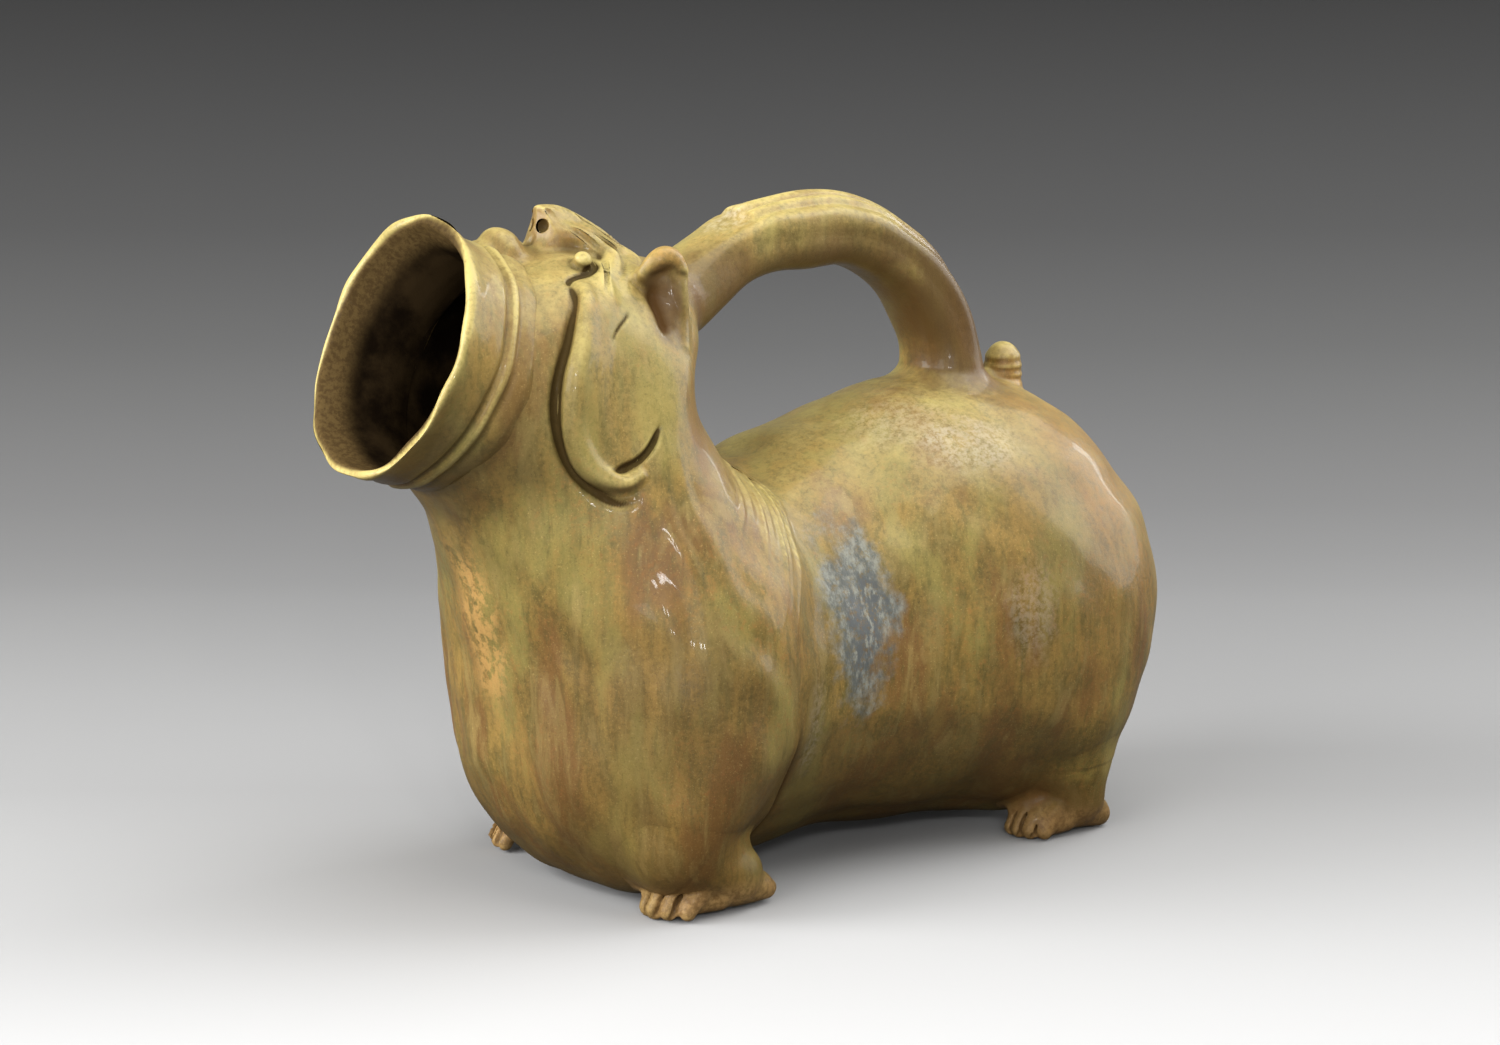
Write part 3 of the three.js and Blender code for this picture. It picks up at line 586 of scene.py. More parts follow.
# Pleats: points, the station where one runs down the head, and its half width there.
pleats = [
    ([[-63.8, 3.6, 173.4], [-60.6, 7.4, 170], [-57.2, 10.4, 166.4], [-55.4, 14, 162.8]], 18.2, 0.5),
    ([[-60.4, 2.4, 174.2], [-55.4, 6.8, 169.8], [-51.4, 10.6, 165.4], [-49.6, 15.4, 161.4]], 17.96, 0.35),
    ([[-55, 1.6, 171.4], [-50, 5.6, 167], [-46.4, 9.6, 162.8], [-45, 14, 159.8]], 17.74, 0.35),
    ([[-49.4, 1, 168.2], [-45.6, 3.6, 165], [-42.6, 7, 161.4]], None, 0.35),
]
for side in (-1, 1):
    for rows, stations, degrees, radii, count in crest_folds:
        low_rows = on_vessel(stations, [side * v for v in degrees], -2) if stations else []
        crest_rolls.append(roll([*mirrored(rows, side), *low_rows], radii, count))
    for rows, radii, count in nostrils:
        crest_cuts.append(roll(mirrored(rows, side), radii, count))
    for rows, station, thick in pleats:
        path = mirrored(rows, side)
        if station:
            path += list(on_vessel([station, station], [42 * side, 54 * side], 0.9))
        crest_cuts.append(roll(path, np.linspace(0.35, thick, len(path)), 50))

# Ears: upright lumps with a rolled rim behind a hollow that narrows downward.
ear_crown = [[-48.8, -22, 158.4], [-46.8, -23.2, 160.9], [-44.2, -24, 162], [-41.8, -24.4, 161]]
ear_rim = [[-40.4, -24.6, 158.4], [-39.8, -25, 151], [-39.6, -25.2, 146], [-40.6, -28, 140.4]]
ear_rolls = [
    roll([*ear_crown, [-40.4, -24.6, 158.6]], [2.1, 2.7, 2.8, 2.5, 2], 40),
    roll(ear_rim, [2, 1.7, 1.5, 0.8], 40),
    roll([[-43, -22, 158.8], [-42.4, -22.4, 152], [-42.4, -24, 146]], [2.8, 2.6, 1.8], 20),
    roll([[-46.4, -20, 157], [-44.6, -21, 152], [-43, -23.6, 145]], [3.6, 3.2, 2], 20),
]
ear_hollow = [[-48, -26.4, 156.4], [-47, -26.2, 154.4], [-46.2, -26, 151], [-45.8, -27.2, 147.4]]
ear_cuts = [
    roll([*ear_hollow, [-46.4, -29.2, 143.2]], [1.6, 2.7, 3, 2.8, 1.5], 30),
    roll([[-46.6, -27.2, 158], [-43.4, -27.6, 158.2], [-40.4, -27.2, 157.4]], [0.9, 0.8, 0.5], 16),
]


# Paws. Each toe has its place ahead of the foot's middle, its place to the side and its fan in radians.
paw_scale = 36
toes = [[11.4, -6.2, -0.3], [15, -3.2, -0.16], [17, 0.2, 0], [17.2, 3.6, 0.12]]
# Places along a toe and along the cut between two: distance out from the toe's place, and height.
toe_places = [(-6.4, 8), (-3, 5.8), (0, 2.5)]
groove_places = [(-7.2, 11), (-4, 9.4), (-1.4, 7.3), (0.8, 4.8), (2.4, 0.6)]


def paw_forms(place, side_y, length, hip_station):
    """The rolls of a paw, with its heel spur and leg, and the cuts between its toes."""
    foot = np.array([place * half_length, side_y, 0])
    hip = on_vessel(np.array([hip_station]), -138, -6)[0]
    yaw = math.radians(8)

    def at(share, side, height):
        x = length * share
        away = [x * math.cos(yaw) + side * math.sin(yaw), side * math.cos(yaw) - x * math.sin(yaw), height]
        return foot + away

    ankle = at(0.1, 0, 9)
    sole_rows = [[-0.3, 4.2], [-0.18, 5.4], [0.08, 6], [0.26, 5], [0.34, 3.8], [0.38, 2.8]]
    sole = [at(share, 0, radius + 0.3) for share, radius in sole_rows]
    rolls = [
        roll(sole, [radius for _, radius in sole_rows], 40),
        roll([at(0.3, 0, 4.4), at(0.41, 0, 3.9)], [3.2, 2], 6),
        roll([ankle, ankle * 0.5 + hip * 0.5, hip], [8.4, 9.4, 11], 14),
    ]
    for side in (-2.8, 2.8):
        rolls.append(roll([at(-0.27, side, 4.3), at(-0.05, side * 0.9, 4.8)], [3.9, 4.4], 10))
    size = length / paw_scale

    def fanned(toe, places):
        forward, side, fan = toe
        points = []
        for out, height in places:
            share = -(forward + out * math.cos(fan)) / paw_scale
            points.append(at(share, (side + out * math.sin(fan)) * size, height))
        return points

    rolls += [roll(fanned(toe, toe_places), [2.6, 2.6, 2.2], 20) for toe in toes]
    gaps = [[(a + b) / 2 for a, b in zip(*pair)] for pair in zip(toes, toes[1:])]
    cuts = [roll(fanned(gap, groove_places), [0.4, 0.7, 0.8, 0.8, 0.8], 28) for gap in gaps]
    return rolls, cuts


front_paw = paw_forms(-0.333, -40, 36, chest_station + 0.5)
rear_paw = paw_forms(0.644, -38, 30, rump_station - 0.8)

# Fields of the walls and the spout, which the pieces flow into.
outer_all = np.concatenate([rear_outer, front_outer[1:]])
body_field = level_set(*closed_rings(outer_all), body_voxel, body_reach)
spout_solid = level_set(spout_flat, spout_quads, spout_tris, voxel, spout_reach)


def base_field(points):
    return blend(sample(body_field, points), sample(spout_solid, points), 1.0)


def flip(field):
    """The mirrored field, on the animal's other side."""
    values = field["values"][:, ::-1]
    low = field["low"].copy()
    low[1] = -(low[1] + values.shape[1] - 1)
    return {**field, "low": low, "values": values}


handle_field = level_set(*closed_rings(handle_rings), voxel, handle_reach)
for edge_roll in edge_rolls:
    shape = handle_field["values"].shape
    cord = roll_values(handle_field["low"], shape, voxel, edge_roll, handle_reach)
    handle_field["values"] = blend(handle_field["values"], cord, 2)


def paw_field(rolls, cuts):
    return field_of(rolls, 0.8, margin=6.5, cuts=cuts, cut_reach=0.6)


# Each piece: its field, and the reach of its fillet.
pieces = {
    "handle": (handle_field, 7.5),
    "handle_crest_strip": (field_of(strip_rolls, 0.6), 1.4),
    "tail_knob": (field_of(tail_rolls, 1.6), 2.4),
    "brow_crest": (field_of(crest_rolls, 2.6, 0.42, cuts=crest_cuts, cut_reach=0.8), 1.8),
    "nose_knob": (field_of(nose_rolls), 3),
}
for base_name, field, reach in [
    ("cheek_ridge", field_of(ridge_rolls, 2.2), 1.4),
    ("eye", field_of(eye_rolls, 0.4, 0.35, cuts=eye_cuts, cut_reach=0.8), 0.4),
    ("ear", field_of(ear_rolls, 1.6, 0.42, cuts=ear_cuts, cut_reach=1.6), 2.4),
    ("foot_front", paw_field(*front_paw), 6),
    ("foot_rear", paw_field(*rear_paw), 6),
]:
    pieces[f"{base_name}_left"] = (field, reach)
    pieces[f"{base_name}_right"] = (flip(field), reach)
slots = {"rear_chamber": "glaze", "front_chamber": "glaze", "spout": "pale_glaze"}
for name in pieces:
    slots[name] = "thin_glaze" if name.startswith("foot") else "pale_glaze"


def all_field(points, until=None):
    """Everything so far run together, up to the named piece."""
    low, high = points.reshape(-1, 3).min(0), points.reshape(-1, 3).max(0)
    values = base_field(points)
    for name, (field, reach) in pieces.items():
        if name == until:
            break
        first = field["low"] * field["size"]
        last = first + np.array(field["values"].shape) * field["size"]
        if np.any(first > high) or np.any(last < low):
            continue
        values = blend(sample(field, points), values, reach)
    return values


def differences(field, points, step):
    """How a field changes across points, along each axis."""
    out = np.empty(points.shape)
    for axis in range(3):
        shift = np.zeros(3)
        shift[axis] = step
        out[..., axis] = field(points + shift) - field(points - shift)
    return out


def largest_component(points, quads, tris):
    """The part of a mesh with the most points. The others are crumbs of the field."""
    label = np.arange(len(points))
    links = [quads[:, [0, 1]], quads[:, [1, 2]], quads[:, [2, 3]]]
    if len(tris):
        links += [tris[:, [0, 1]], tris[:, [1, 2]]]
    links = np.concatenate(links)
    while True:
        before = label.copy()
        low = np.minimum(label[links[:, 0]], label[links[:, 1]])
        np.minimum.at(label, links[:, 0], low)
        np.minimum.at(label, links[:, 1], low)
        label = label[label]
        if np.array_equal(before, label):
            break
    counts = np.bincount(label)
    keep = label == counts.argmax()
    index = np.cumsum(keep) - 1
    quads = index[quads[keep[quads[:, 0]]]]
    tris = index[tris[keep[tris[:, 0]]]] if len(tris) else tris
    return points[keep], quads, tris


# A luted piece: how deep it goes under the surface, how near its own surface a point is moved onto it, and
# the step that its slopes are read with.
sink = 1.3
snap_reach = 0.35
slope_step = 0.25


def plug(name):
    """The shown mesh of a luted piece: its own field, flowing into what is under it, and sunk a little."""
    field, reach = pieces[name]
    edge = 0.8 * reach
    active = np.argwhere(field["values"] < edge + 1)
    low = (field["low"] + active.min(0)) * field["size"]
    high = (field["low"] + active.max(0)) * field["size"]
    size = field["size"]
    first = np.floor(low / size).astype(int)
    last = np.ceil(high / size).astype(int)
    axes = [np.arange(a, b + 1) * size for a, b in zip(first, last)]
    points = np.stack(np.meshgrid(*axes, indexing="ij"), -1)
    own = sample(field, points)
    under = all_field(points, name)
    values = np.maximum(blend(own, under, reach), own - edge)
    values = np.maximum(values, -(under + sink)).astype(np.float32)
    values = np.clip(values, -field_limit, field_limit)
    values[[0, -1]] = field_limit
    values[:, [0, -1]] = field_limit
    values[:, :, [0, -1]] = field_limit
    grid = vdb.FloatGrid(field_limit)
    grid.copyFromArray(np.ascontiguousarray(values), ijk=tuple(int(v) for v in first), tolerance=0)
    grid.transform = vdb.createLinearTransform(voxelSize=size)
    points, tris, quads = grid.convertToPolygons(isovalue=0.0, adaptivity=0.0)
    points, quads, tris = largest_component(points.astype(float), quads.astype(int), tris.astype(int))

    def top(p):
        return blend(sample(field, p), all_field(p, name), reach)

    normals = unit(differences(top, points, slope_step))
    for _ in range(2):
        gap = top(points)
        near = (np.abs(gap) < snap_reach)[:, None]
        points = points - normals * gap[:, None] * near
    return points, quads, tris, unit(differences(top, points, slope_step))


# Unevenness of the hand, the same for every piece so that their rims stay flush.
generator = np.random.default_rng(7)
wave_count = 26
wave_lengths = np.geomspace(11, 60, wave_count)
wave_ways = unit(generator.normal(size=(wave_count, 3)))
wave_phases = generator.uniform(0, 2 * math.pi, wave_count)
wave_heights = 0.0045 * wave_lengths


def unevenness(points):
    total = np.zeros(points.shape[:-1])
    for length, way, phase, height in zip(wave_lengths, wave_ways, wave_phases, wave_heights):
        total += height * np.sin(points @ way * (2 * math.pi / length) + phase)
    return total


# Lines cut with a tool: points of each on the head, with depth and half width.
cut_lines = []


def cut(rows, depth, half_width, count=40):
    """Adds a line on both sides, from rows of station and degrees."""
    rows = np.asarray(rows, float)
    for sign in (1, -1):
        points = on_vessel(rows[:, 0], sign * rows[:, 1])
        cut_lines.append((along(points)(np.linspace(0, 1, count)), depth, half_width))


cut([[17.7, -55.5], [17.76, -60], [17.84, -65], [17.86, -71]], 0.4, 0.6)
cut([[16.5, -109], [16.0, -105], [15.75, -99], [15.6, -93], [15.6, -87], [15.75, -82]], 1.6, 0.8)
cut([[18.4, -21], [18.34, -28], [18.44, -34.5], [18.72, -38], [18.98, -40.5], [19.02, -45]], 0.9, 0.8)
front_edge = [[19.02, -42], [18.94, -49], [18.86, -55.5], [18.9, -63], [18.9, -74], [18.85, -84]]
front_edge += [[18.6, -95], [18.1, -105], [17.45, -112.5], [16.8, -115.8], [16.2, -115], [15.6, -111]]
cut([*front_edge, [15.15, -105], [14.95, -98]], 1.1, 1.1)
cut([[18.02, -12], [18.16, -20], [18.2, -29], [18.2, -40], [18.12, -48]], 0.3, 0.6)
cut([[9.5, -96], [9.2, -121], [9.2, -137], [9.3, -155]], 0.7, 1.4)
cut([[17.5, -30], [17.35, -42], [17.1, -50], [16.8, -57.5]], 1.6, 1.8)


def cuts_at(points):
    total = np.zeros(points.shape[:-1])
    for line, depth, half_width in cut_lines:
        low, high = line.min(0) - 4, line.max(0) + 4
        near = np.all((points > low) & (points < high), -1)
        if not near.any():
            continue
        p = points[near]
        best = np.full(len(p), 1e3)
        share = np.zeros(len(p))
        for i, (a, b) in enumerate(zip(line[:-1], line[1:])):
            step = b - a
            t = np.clip(((p - a) @ step) / (step @ step), 0, 1)
            gap = np.linalg.norm(p - a - t[:, None] * step, axis=1)
            nearer = gap < best
            best[nearer] = gap[nearer]
            share[nearer] = (i + t[nearer]) / (len(line) - 1)
        fade = np.minimum(np.minimum(share, 1 - share) / 0.15, 1) * 0.8 + 0.2
        total[near] = np.minimum(total[near], -depth * fade * np.exp(-((best / half_width) ** 2)))
    return total


def displaced(points, normals, inward):
    """Points moved by the shared unevenness, inner sides with the outer ones, and their new normals."""

    def height(p):
        return unevenness(p) + cuts_at(p)

    step = 0.15
    way = 1 - 2 * inward
    rise = height(points) * way
    grade = differences(height, points, step) * way[:, None] / (2 * step)
    grade -= normals * np.sum(grade * normals, -1, keepdims=True)
    return points + normals * rise[:, None], unit(normals - grade)


def grid_normals(rings, wrap_rows=False):
    """Normals of a grid of rings, outward for rings that run from the rump to the spout."""
    around = np.roll(rings, -1, 1) - np.roll(rings, 1, 1)
    if wrap_rows:
        down = np.roll(rings, -1, 0) - np.roll(rings, 1, 0)
    else:
        down = np.gradient(rings, axis=0)
    return unit(np.cross(around, down))


around_ways = unit(np.array([[x, y, z] for x in (-1, 1) for y in (-1, 1) for z in (-1, 1)], float))


def standing_out(points, reach):
    """How much a surface point stands out of its surroundings: mean distance of the places round it."""

    def level(p):
        return all_field(p) - cuts_at(p)

    total = np.zeros(len(points))
    for way in around_ways:
        total += level(points + way * reach)
    return (total / len(around_ways) - level(points)) / reach


shown = {}


def linked(name, data):
    made = bpy.data.objects.new(name, data)
    bpy.context.scene.collection.objects.link(made)
    return made


def add_mesh(node, points, quads, tris, normals, inward=None, within=None):
    """Makes the shown mesh of a node from places in millimetres. inward is 1 on its inner side, and within
    is 1 deep inside, where the inside is painted dark as shade."""
    inward = np.zeros(len(points)) if inward is None else inward
    within = inward if within is None else within
    moved, turned = displaced(points, normals, inward)
    mesh = bpy.data.meshes.new(node)
    loops = np.concatenate([quads.reshape(-1), tris.reshape(-1)]).astype(np.int32)
    sizes = np.concatenate([np.full(len(quads), 4), np.full(len(tris), 3)]).astype(np.int32)
    mesh.vertices.add(len(points))
    mesh.vertices.foreach_set("co", (moved * millimetre).astype(np.float32).reshape(-1))
    mesh.loops.add(len(loops))
    mesh.loops.foreach_set("vertex_index", loops)
    mesh.polygons.add(len(sizes))
    starts = np.concatenate([[0], np.cumsum(sizes)[:-1]]).astype(np.int32)
    mesh.polygons.foreach_set("loop_start", starts)
    mesh.update(calc_edges=True)
    mesh.validate(clean_customdata=False)
    mesh.polygons.foreach_set("use_smooth", np.ones(len(sizes), bool))
    mesh.normals_split_custom_set_from_vertices(turned.astype(np.float32))
    outer = within < 0.99
    fine_relief, broad_relief = np.zeros((2, len(points)))
    fine_relief[outer] = standing_out(points[outer], 1.2)
    broad_relief[outer] = standing_out(points[outer], 3.6)
    values = {"fine_relief": fine_relief, "broad_relief": broad_relief, "within": within}
    for label, row in values.items():
        mesh.attributes.new(label, "FLOAT", "POINT").data.foreach_set("value", row.astype(np.float32))
    made = linked(f"{node}_glazed", mesh)
    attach(made, "root")
    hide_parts(node)
    shown[node] = made


joint = grid_normals(outer_all)
for name, outer, inner, rear in [
    ("rear_chamber", rear_outer, rear_inner, True),
    ("front_chamber", front_outer, front_inner, False),
]:
    points, quads, tris = closed_rings(np.concatenate([outer, inner]), rear)
    rows = slice(0, len(rear_outer)) if rear else slice(len(rear_outer) - 1, None)
    normals = np.concatenate([joint[rows], -grid_normals(inner[::-1])[::-1]]).reshape(-1, 3)
    inward = np.zeros(len(points))
    inward[len(outer) * around_count :] = 1
    if rear:
        normals = np.concatenate([normals, [[1, 0, 0]], [[-1, 0, 0]]])
        inward[-2] = 0
    add_mesh(name, points, quads, tris, normals, inward)

spout_normals = -grid_normals(spout_points, True).reshape(-1, 3)
inward = np.repeat(spout_inside, spout_around)
spout_run = (spout_flat - spout_seat) @ spout_axis
# The spout's inside gets less painted shade towards its lip.
within = inward * (1 - 0.35 * smooth_step(spout_run, 8, 18))
add_mesh("spout", spout_flat, spout_quads, spout_tris, spout_normals, inward, within)
for name in pieces:
    add_mesh(name, *plug(name))


# Materials.
class Shader:
    """Builds a node tree with short calls. Values may be numbers, colours or sockets."""

    def __init__(self, name):
        self.material = bpy.data.materials.new(name)
        self.material.use_nodes = True
        self.tree = self.material.node_tree
        self.tree.nodes.clear()
        self.where = self.place()
        self.look = None

    def node(self, kind, inputs=(), **settings):
        made = self.tree.nodes.new(f"ShaderNode{kind}")
        for key, value in settings.items():
            setattr(made, key, value)
        for key, value in dict(inputs).items():
            if isinstance(value, bpy.types.NodeSocket):
                self.tree.links.new(value, made.inputs[key])
            else:
                made.inputs[key].default_value = value
        return made

    def math(self, operation, a, b=0.0, c=0.0):
        return self.node("Math", {0: a, 1: b, 2: c}, operation=operation).outputs[0]

    def times(self, a, b):
        return self.math("MULTIPLY", a, b)

    def plus(self, a, b):
        return self.math("ADD", a, b)

    def mix(self, share, a, b):
        return self.node("Mix", {0: share, 6: a, 7: b}, data_type="RGBA").outputs[2]

    def paint(self, share, red, green, blue):
        """Lays a colour over the look so far, by a share from 0 to 1."""
        self.look = self.mix(share, self.look, colour(red, green, blue))

    def step(self, value, low, high, start=0.0, end=1.0):
        inputs = {0: value, 1: low, 2: high, 3: start, 4: end}
        return self.node("MapRange", inputs, interpolation_type="SMOOTHSTEP").outputs[0]

    def scaled(self, vector, scale, shift):
        return self.node("VectorMath", {0: vector, 1: scale, 2: shift}, operation="MULTIPLY_ADD").outputs[0]

    def place(self, scale=(1, 1, 1)):
        """Object coordinates in millimetres, scaled."""
        where = self.node("TexCoord").outputs["Object"]
        return self.scaled(where, tuple(1000 * v for v in scale), (0, 0, 0))

    def noise(self, where, scale, detail=3.0, rough=0.55, distort=0.0):
        inputs = {"Vector": where, "Scale": scale, "Detail": detail, "Roughness": rough}
        return self.node("TexNoise", {**inputs, "Distortion": distort}).outputs["Fac"]

    def blob(self, centre, reach, edge=0.35, ragged=0.5, scale=0.16):
        """A patch round a centre, 1 inside it and 0 outside, with a ragged edge."""
        offset = tuple(-c / v for c, v in zip(centre, reach))
        local = self.scaled(self.where, tuple(1 / v for v in reach), offset)
        length = self.node("VectorMath", {0: local}, operation="LENGTH").outputs["Value"]
        rough = self.math("MULTIPLY_ADD", self.noise(self.where, scale, 5, 0.65), 2 * ragged, -ragged)
        return self.step(self.plus(length, rough), 1 - edge, 1 + edge, 1.0, 0.0)

    def finish(self, kind, inputs):
        """Puts the shader on the surface and gives the material."""
        self.node("OutputMaterial", {"Surface": self.node(kind, inputs).outputs[0]})
        return self.material


def colour(red, green, blue):
    """A linear colour from display values."""
    return tuple((((v / 255) + 0.055) / 1.055) ** 2.4 for v in (red, green, blue)) + (1.0,)


# Patches of the glaze, and of painted shade: centre and reach in millimetres, and strength.
pale_blooms = [
    ((46, -34, 109), (13, 11, 6), 0.3),
    ((50, -55, 67), (7, 6, 11), 0.2),
    ((-15, -46, 44), (3, 5, 14), 0.15),
    ((34, -20, 114), (15, 12, 6), 0.15),
    ((-12, 0, 171), (7, 9, 5), 0.5),
]
warm_patches = [((92, -26, 92), (26, 30, 34), 0.3), ((-44, -25, 164), (7, 7, 4), 0.3)]
dark_patches_and_painted_shade = [
    ((74, -42, 84), (30, 30, 40), 0.3),
    # Painted shadow on the rear paw.
    ((68, -42, 4), (26, 14, 12), 0.5),
    ((-58, -38, 40), (40, 34, 38), 0.4),
    ((60, -10, 142), (22, 13, 26), 0.8),
    ((26, -12, 158), (26, 8, 7), 0.5),
    ((-18, -12, 152), (16, 9, 12), 0.65),
    # Painted shade in the ear's hollow.
    ((-45.5, -25, 149), (5, 7, 10), 0.85),
]


def glaze_material(name, clay=False):
    """Ash glaze: olive and amber runs, thin and pale on edges, pooled and dark in hollows."""
    s = Shader(name)
    where = s.where
    runs = s.place((1, 1, 0.2))
    shape = s.node("NewGeometry").outputs["Normal"]
    facing = s.node("SeparateXYZ", {0: shape}).outputs[2]
    height = s.node("SeparateXYZ", {0: where}).outputs[2]
    fine, broad, within = (
        s.node("Attribute", attribute_name=label).outputs["Fac"]
        for label in ("fine_relief", "broad_relief", "within")
    )

    # The base: two tones, broad zones of brown and yellow, runs, rust and dark and light grains.
    streak = s.noise(runs, 0.17, 6, 0.62, 0.5)
    thin_streak = s.noise(runs, 0.42, 6, 0.65, 0.3)
    mottle = s.noise(where, 0.045, 6, 0.62)
    speckle = s.noise(where, 0.7, 6, 0.72)
    grain = s.noise(where, 2.2, 3, 0.6)
    zones = s.noise(s.place((1, 1, 0.3)), 0.05, 4, 0.55)
    tone = s.plus(s.plus(s.times(streak, 0.5), s.times(mottle, 0.2)), s.times(speckle, 0.3))
    s.look = s.mix(s.step(tone, 0.4, 0.6), colour(94, 81, 39), colour(148, 119, 60))
    s.paint(s.step(zones, 0.5, 0.62, 0, 0.7), 114, 78, 40)
    s.paint(s.step(zones, 0.48, 0.37, 0, 0.6), 142, 132, 70)
    s.paint(s.step(thin_streak, 0.5, 0.68, 0, 0.5), 84, 80, 39)
    s.paint(s.step(streak, 0.5, 0.34, 0, 0.5), 162, 138, 80)
    rust = s.times(s.step(speckle, 0.5, 0.7), s.step(s.noise(where, 0.04, 3), 0.42, 0.6))
    s.paint(s.times(rust, 0.42), 150, 92, 44)
    s.paint(s.step(grain, 0.58, 0.74, 0, 0.6), 76, 58, 32)
    s.paint(s.step(grain, 0.42, 0.26, 0, 0.4), 196, 170, 106)

    # Paler where the glaze is thin, on edges, and on upward faces partly as painted light from above; darker
    # where it pools, and painted shade on downward faces and low down.
    head = s.blob((-70, 0, 142), (40, 60, 34), 0.4, 0.3, 0.05)
    strap = s.blob((22, 0, 160), (56, 40, 24), 0.4, 0.3, 0.05)
    # Upward faces paler: partly thin glaze, partly painted light from above.
    upward = s.times(s.step(facing, 0.25, 0.95), 0.4)
    pale = s.plus(upward, s.times(s.math("MAXIMUM", head, strap), 0.2))
    pale = s.plus(pale, s.step(fine, 0.03, 0.2, 0, 0.55))
    pale = s.plus(pale, s.step(broad, 0.05, 0.35, 0, 0.35))
    pale = s.times(pale, s.step(speckle, 0.3, 0.6, 0.5, 1.0))
    pale = s.times(pale, s.step(mottle, 0.38, 0.6, 1.2, 0.55))
    s.paint(s.math("MINIMUM", pale, 0.8), 206, 188, 116)
    pooled = s.plus(s.step(fine, -0.05, -0.38, 0, 0.8), s.step(broad, -0.04, -0.25, 0, 0.55))
    pooled = s.math("MINIMUM", pooled, 0.9)
    s.paint(pooled, 54, 40, 20)
    outside = s.math("MAXIMUM", s.math("MULTIPLY_ADD", within, -1.5, 1.0), 0.0)
    shine = s.times(s.times(s.math("SUBTRACT", 1.0, pooled), outside), s.step(height, 12, 45, 0.3, 1))
    # Painted shade: darker on downward faces and towards the bottom.
    under = s.math("MAXIMUM", s.step(facing, 0.05, -0.7, 0, 0.7), s.step(height, 34, 4, 0, 0.55))
    s.paint(under, 68, 53, 31)

    # The grey ash splash on the left flank, with a darker heart.
    splash_shape = s.blob((1, -43, 72.5), (10.5, 14, 24), 0.3, 1.1, 0.1)
    splash_heart = s.blob((2.5, -43, 69), (6.5, 10, 12), 0.6, 1.4, 0.2)
    ash_runs = s.noise(s.place((1, 1, 0.4)), 0.45, 6, 0.72)
    ash = s.mix(s.step(ash_runs, 0.38, 0.64), colour(86, 90, 86), colour(140, 142, 132))
    ash = s.mix(s.times(splash_heart, s.step(ash_runs, 0.64, 0.48)), ash, colour(84, 90, 92))
    s.look = s.mix(s.times(splash_shape, s.step(speckle, 0.34, 0.52, 0.35, 0.95)), s.look, ash)

    # Blooms, warm patches, bare clay on the paws, a painted rim light on the rump's back edge, darker
    # patches with painted shade among them, and the worn patch on the chest.
    for centre, reach, strength in pale_blooms:
        bloom = s.times(s.blob(centre, reach, 0.5, 0.8, 0.2), s.step(speckle, 0.38, 0.62))
        s.paint(s.times(bloom, strength), 196, 192, 178)
    for centre, reach, strength in warm_patches:
        warmth = s.times(s.blob(centre, reach, 0.5, 0.8, 0.06), s.step(speckle, 0.34, 0.6, 0.3, 1))
        s.paint(s.times(warmth, strength), 196, 140, 68)
    if clay:
        bare = s.mix(s.step(speckle, 0.4, 0.6), colour(138, 105, 67), colour(190, 152, 100))
        bare = s.mix(s.math("MINIMUM", pooled, 0.95), bare, colour(48, 32, 20))
        s.look = s.mix(s.step(height, 11, 5, 0, 0.5), s.look, bare)
    # Painted rim light: a pale patch on the rump's back edge.
    s.paint(s.times(s.blob((112, -18, 56), (15, 26, 42), 0.5, 0.5, 0.05), 0.35), 206, 188, 116)
    # Darker patches on the rump, the lower chest and the handle, painted shadow on the rear paw and painted
    # shade in the ear's hollow.
    for centre, reach, strength in dark_patches_and_painted_shade:
        s.paint(s.times(s.blob(centre, reach, 0.5, 0.7, 0.1), strength), 84, 58, 30)
    worn_patch = s.blob((-87, -3, 70), (9, 9, 27), 0.4, 0.9, 0.12)
    worn = s.times(worn_patch, s.step(s.noise(where, 0.24, 6, 0.75), 0.44, 0.56))
    s.paint(s.times(worn, 0.8), 176, 136, 76)

    # The inside: thin brown glaze at the mouth, and painted shade, near black, farther in.
    painted_deep_shade = s.mix(s.step(mottle, 0.4, 0.6), colour(20, 14, 8), colour(48, 37, 22))
    shallow = s.mix(s.step(speckle, 0.4, 0.6), colour(84, 66, 40), colour(106, 86, 52))
    inner = s.mix(s.step(within, 0.55, 0.95), shallow, painted_deep_shade)
    s.look = s.mix(s.step(within, 0.02, 0.5), s.look, inner)

    texture = s.plus(speckle, s.times(grain, 0.4))
    inputs = {
        "Base Color": s.look,
        "Roughness": s.plus(s.step(speckle, 0.3, 0.7, 0.36, 0.5), s.times(worn, 0.3)),
        "Specular IOR Level": s.times(shine, 0.27),
        "Coat Weight": s.times(shine, 0.17),
        "Coat Roughness": 0.07,
        "Normal": s.node("Bump", {"Strength": 0.25, "Distance": 0.0004, "Height": texture}).outputs[0],
    }
    return s.finish("BsdfPrincipled", inputs)


materials = {
    "glaze": glaze_material("olive_glaze"),
    "pale_glaze": glaze_material("pale_olive_glaze"),
    "thin_glaze": glaze_material("thin_glaze_over_clay", True),
}
for name, made in shown.items():
    made.data.materials.append(materials[slots[name]])


# Stage, camera and light.
photo_turn = math.radians(35.9)
photo_rise = math.radians(10.4)
camera_distance = 0.8
target = Vector((-0.85, 0, 88.2)) * millimetre
level = math.cos(photo_rise)
back = Vector((-math.sin(photo_turn) * level, -math.cos(photo_turn) * level, math.sin(photo_rise)))
camera_data = bpy.data.cameras.new("camera")
camera_data.lens = 73.2
camera_data.sensor_width = 36
camera = linked("camera", camera_data)
camera.location = target + back * camera_distance
camera.rotation_mode = "QUATERNION"
camera.rotation_quaternion = (-back).to_track_quat("-Z", "Y")
camera_data.clip_start = 0.01
camera_data.clip_end = 30
bpy.context.scene.camera = camera


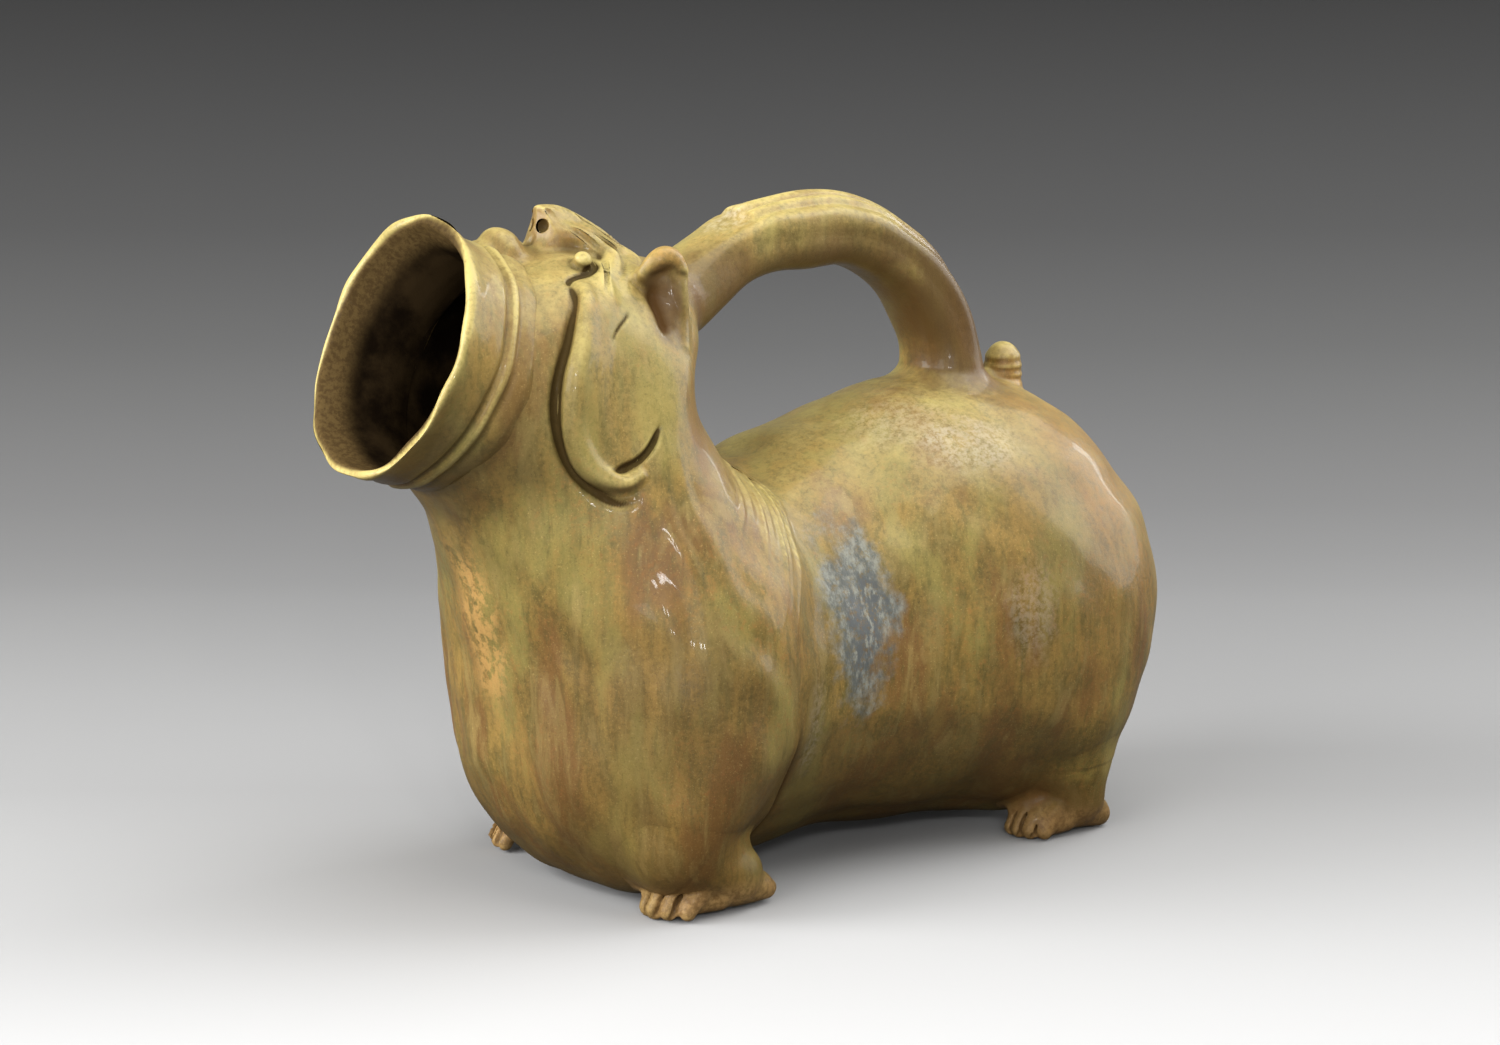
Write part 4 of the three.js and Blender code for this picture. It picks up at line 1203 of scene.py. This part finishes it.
def sweep_stage():
    """A pale floor that curves up into a backdrop behind the vessel, with painted shade that darkens it as
    it climbs.
    """
    depth = Vector((math.sin(photo_turn), math.cos(photo_turn), 0))
    side = Vector((math.cos(photo_turn), -math.sin(photo_turn), 0))
    start = 0.35
    radius = 0.5
    steps = 16
    profile = [(-3, 0), (start, 0)]
    for i in range(1, steps + 1):
        turn = i / steps * math.pi / 2
        profile.append((start + radius * math.sin(turn), radius - radius * math.cos(turn)))
    profile.append((start + radius, 3.5))
    points = []
    for run, height in profile:
        for reach in (-4, 4):
            points.append(depth * run + side * reach + Vector((0, 0, height)))
    faces = [(2 * i, 2 * i + 1, 2 * i + 3, 2 * i + 2) for i in range(len(profile) - 1)]
    mesh = bpy.data.meshes.new("backdrop")
    mesh.from_pydata(points, [], faces)
    mesh.polygons.foreach_set("use_smooth", np.ones(len(faces), bool))
    made = linked("backdrop", mesh)
    s = Shader("backdrop_paper")
    split = s.node("SeparateXYZ", {0: s.where})
    run = s.plus(s.times(split.outputs[0], depth.x), s.times(split.outputs[1], depth.y))
    climb = s.plus(run, split.outputs[2])
    # Painted shade: a ramp darkens the paper as it climbs, seen by camera rays; other rays see a dark grey.
    shade = s.node("MapRange", {0: climb, 1: -150.0, 2: 1000.0, 3: 0.0, 4: 1.0}).outputs[0]
    ramp = s.node("ValToRGB", {0: shade})
    stops = [(0, 0.49), (0.1, 0.395), (0.18, 0.32), (0.28, 0.29), (0.41, 0.238), (0.54, 0.163)]
    stops += [(0.7, 0.096), (0.8, 0.065), (1, 0.029)]
    for index, (place, level) in enumerate(stops):
        if 0 < index < len(stops) - 1:
            ramp.color_ramp.elements.new(place)
        ramp.color_ramp.elements[index].position = place
        ramp.color_ramp.elements[index].color = (level, level, level, 1)
    seen = s.node("LightPath").outputs["Is Camera Ray"]
    paper_with_painted_shade = s.mix(seen, (0.11, 0.11, 0.107, 1), ramp.outputs[0])
    mesh.materials.append(s.finish("BsdfDiffuse", {"Color": paper_with_painted_shade}))


sweep_stage()


def area_light(name, azimuth, elevation, distance, size, power):
    """A soft light, aimed at the vessel's middle. Azimuth turns from +X towards +Y."""
    data = bpy.data.lights.new(name, "AREA")
    data.shape = "RECTANGLE"
    data.size, data.size_y = size
    data.energy = power
    made = linked(name, data)
    a, e = math.radians(azimuth), math.radians(elevation)
    way = Vector((math.cos(a) * math.cos(e), math.sin(a) * math.cos(e), math.sin(e)))
    made.location = Vector((0, 0, 0.08)) + way * distance
    made.rotation_mode = "QUATERNION"
    made.rotation_quaternion = way.to_track_quat("Z", "Y")


area_light("overhead", -60, 72, 1.4, (1.3, 1.3), 13.5)
area_light("right_rim", -14, 30, 1.3, (1.2, 1.4), 18)
area_light("back_rim", 14, 10, 1.3, (0.5, 0.9), 15)
area_light("left_rim", 158, 22, 1.3, (0.6, 0.9), 19)
area_light("left_fill", -165, 20, 1.5, (1, 1), 14)
for middle, rise, tall, power in [(-119, 23, 0.12, 1.6), (-115, 2, 0.06, 1)]:
    for side in (-1, 1):
        area_light(f"window_{rise}_{side + 1}", middle + 4 * side, rise, 1.2, (0.06, tall), power)
world = bpy.data.worlds.new("studio")
world.use_nodes = True
background = world.node_tree.nodes["Background"].inputs
background[0].default_value = (1, 0.98, 0.95, 1)
background[1].default_value = 0.42
bpy.context.scene.world = world
bpy.context.scene.view_settings.view_transform = "Standard"
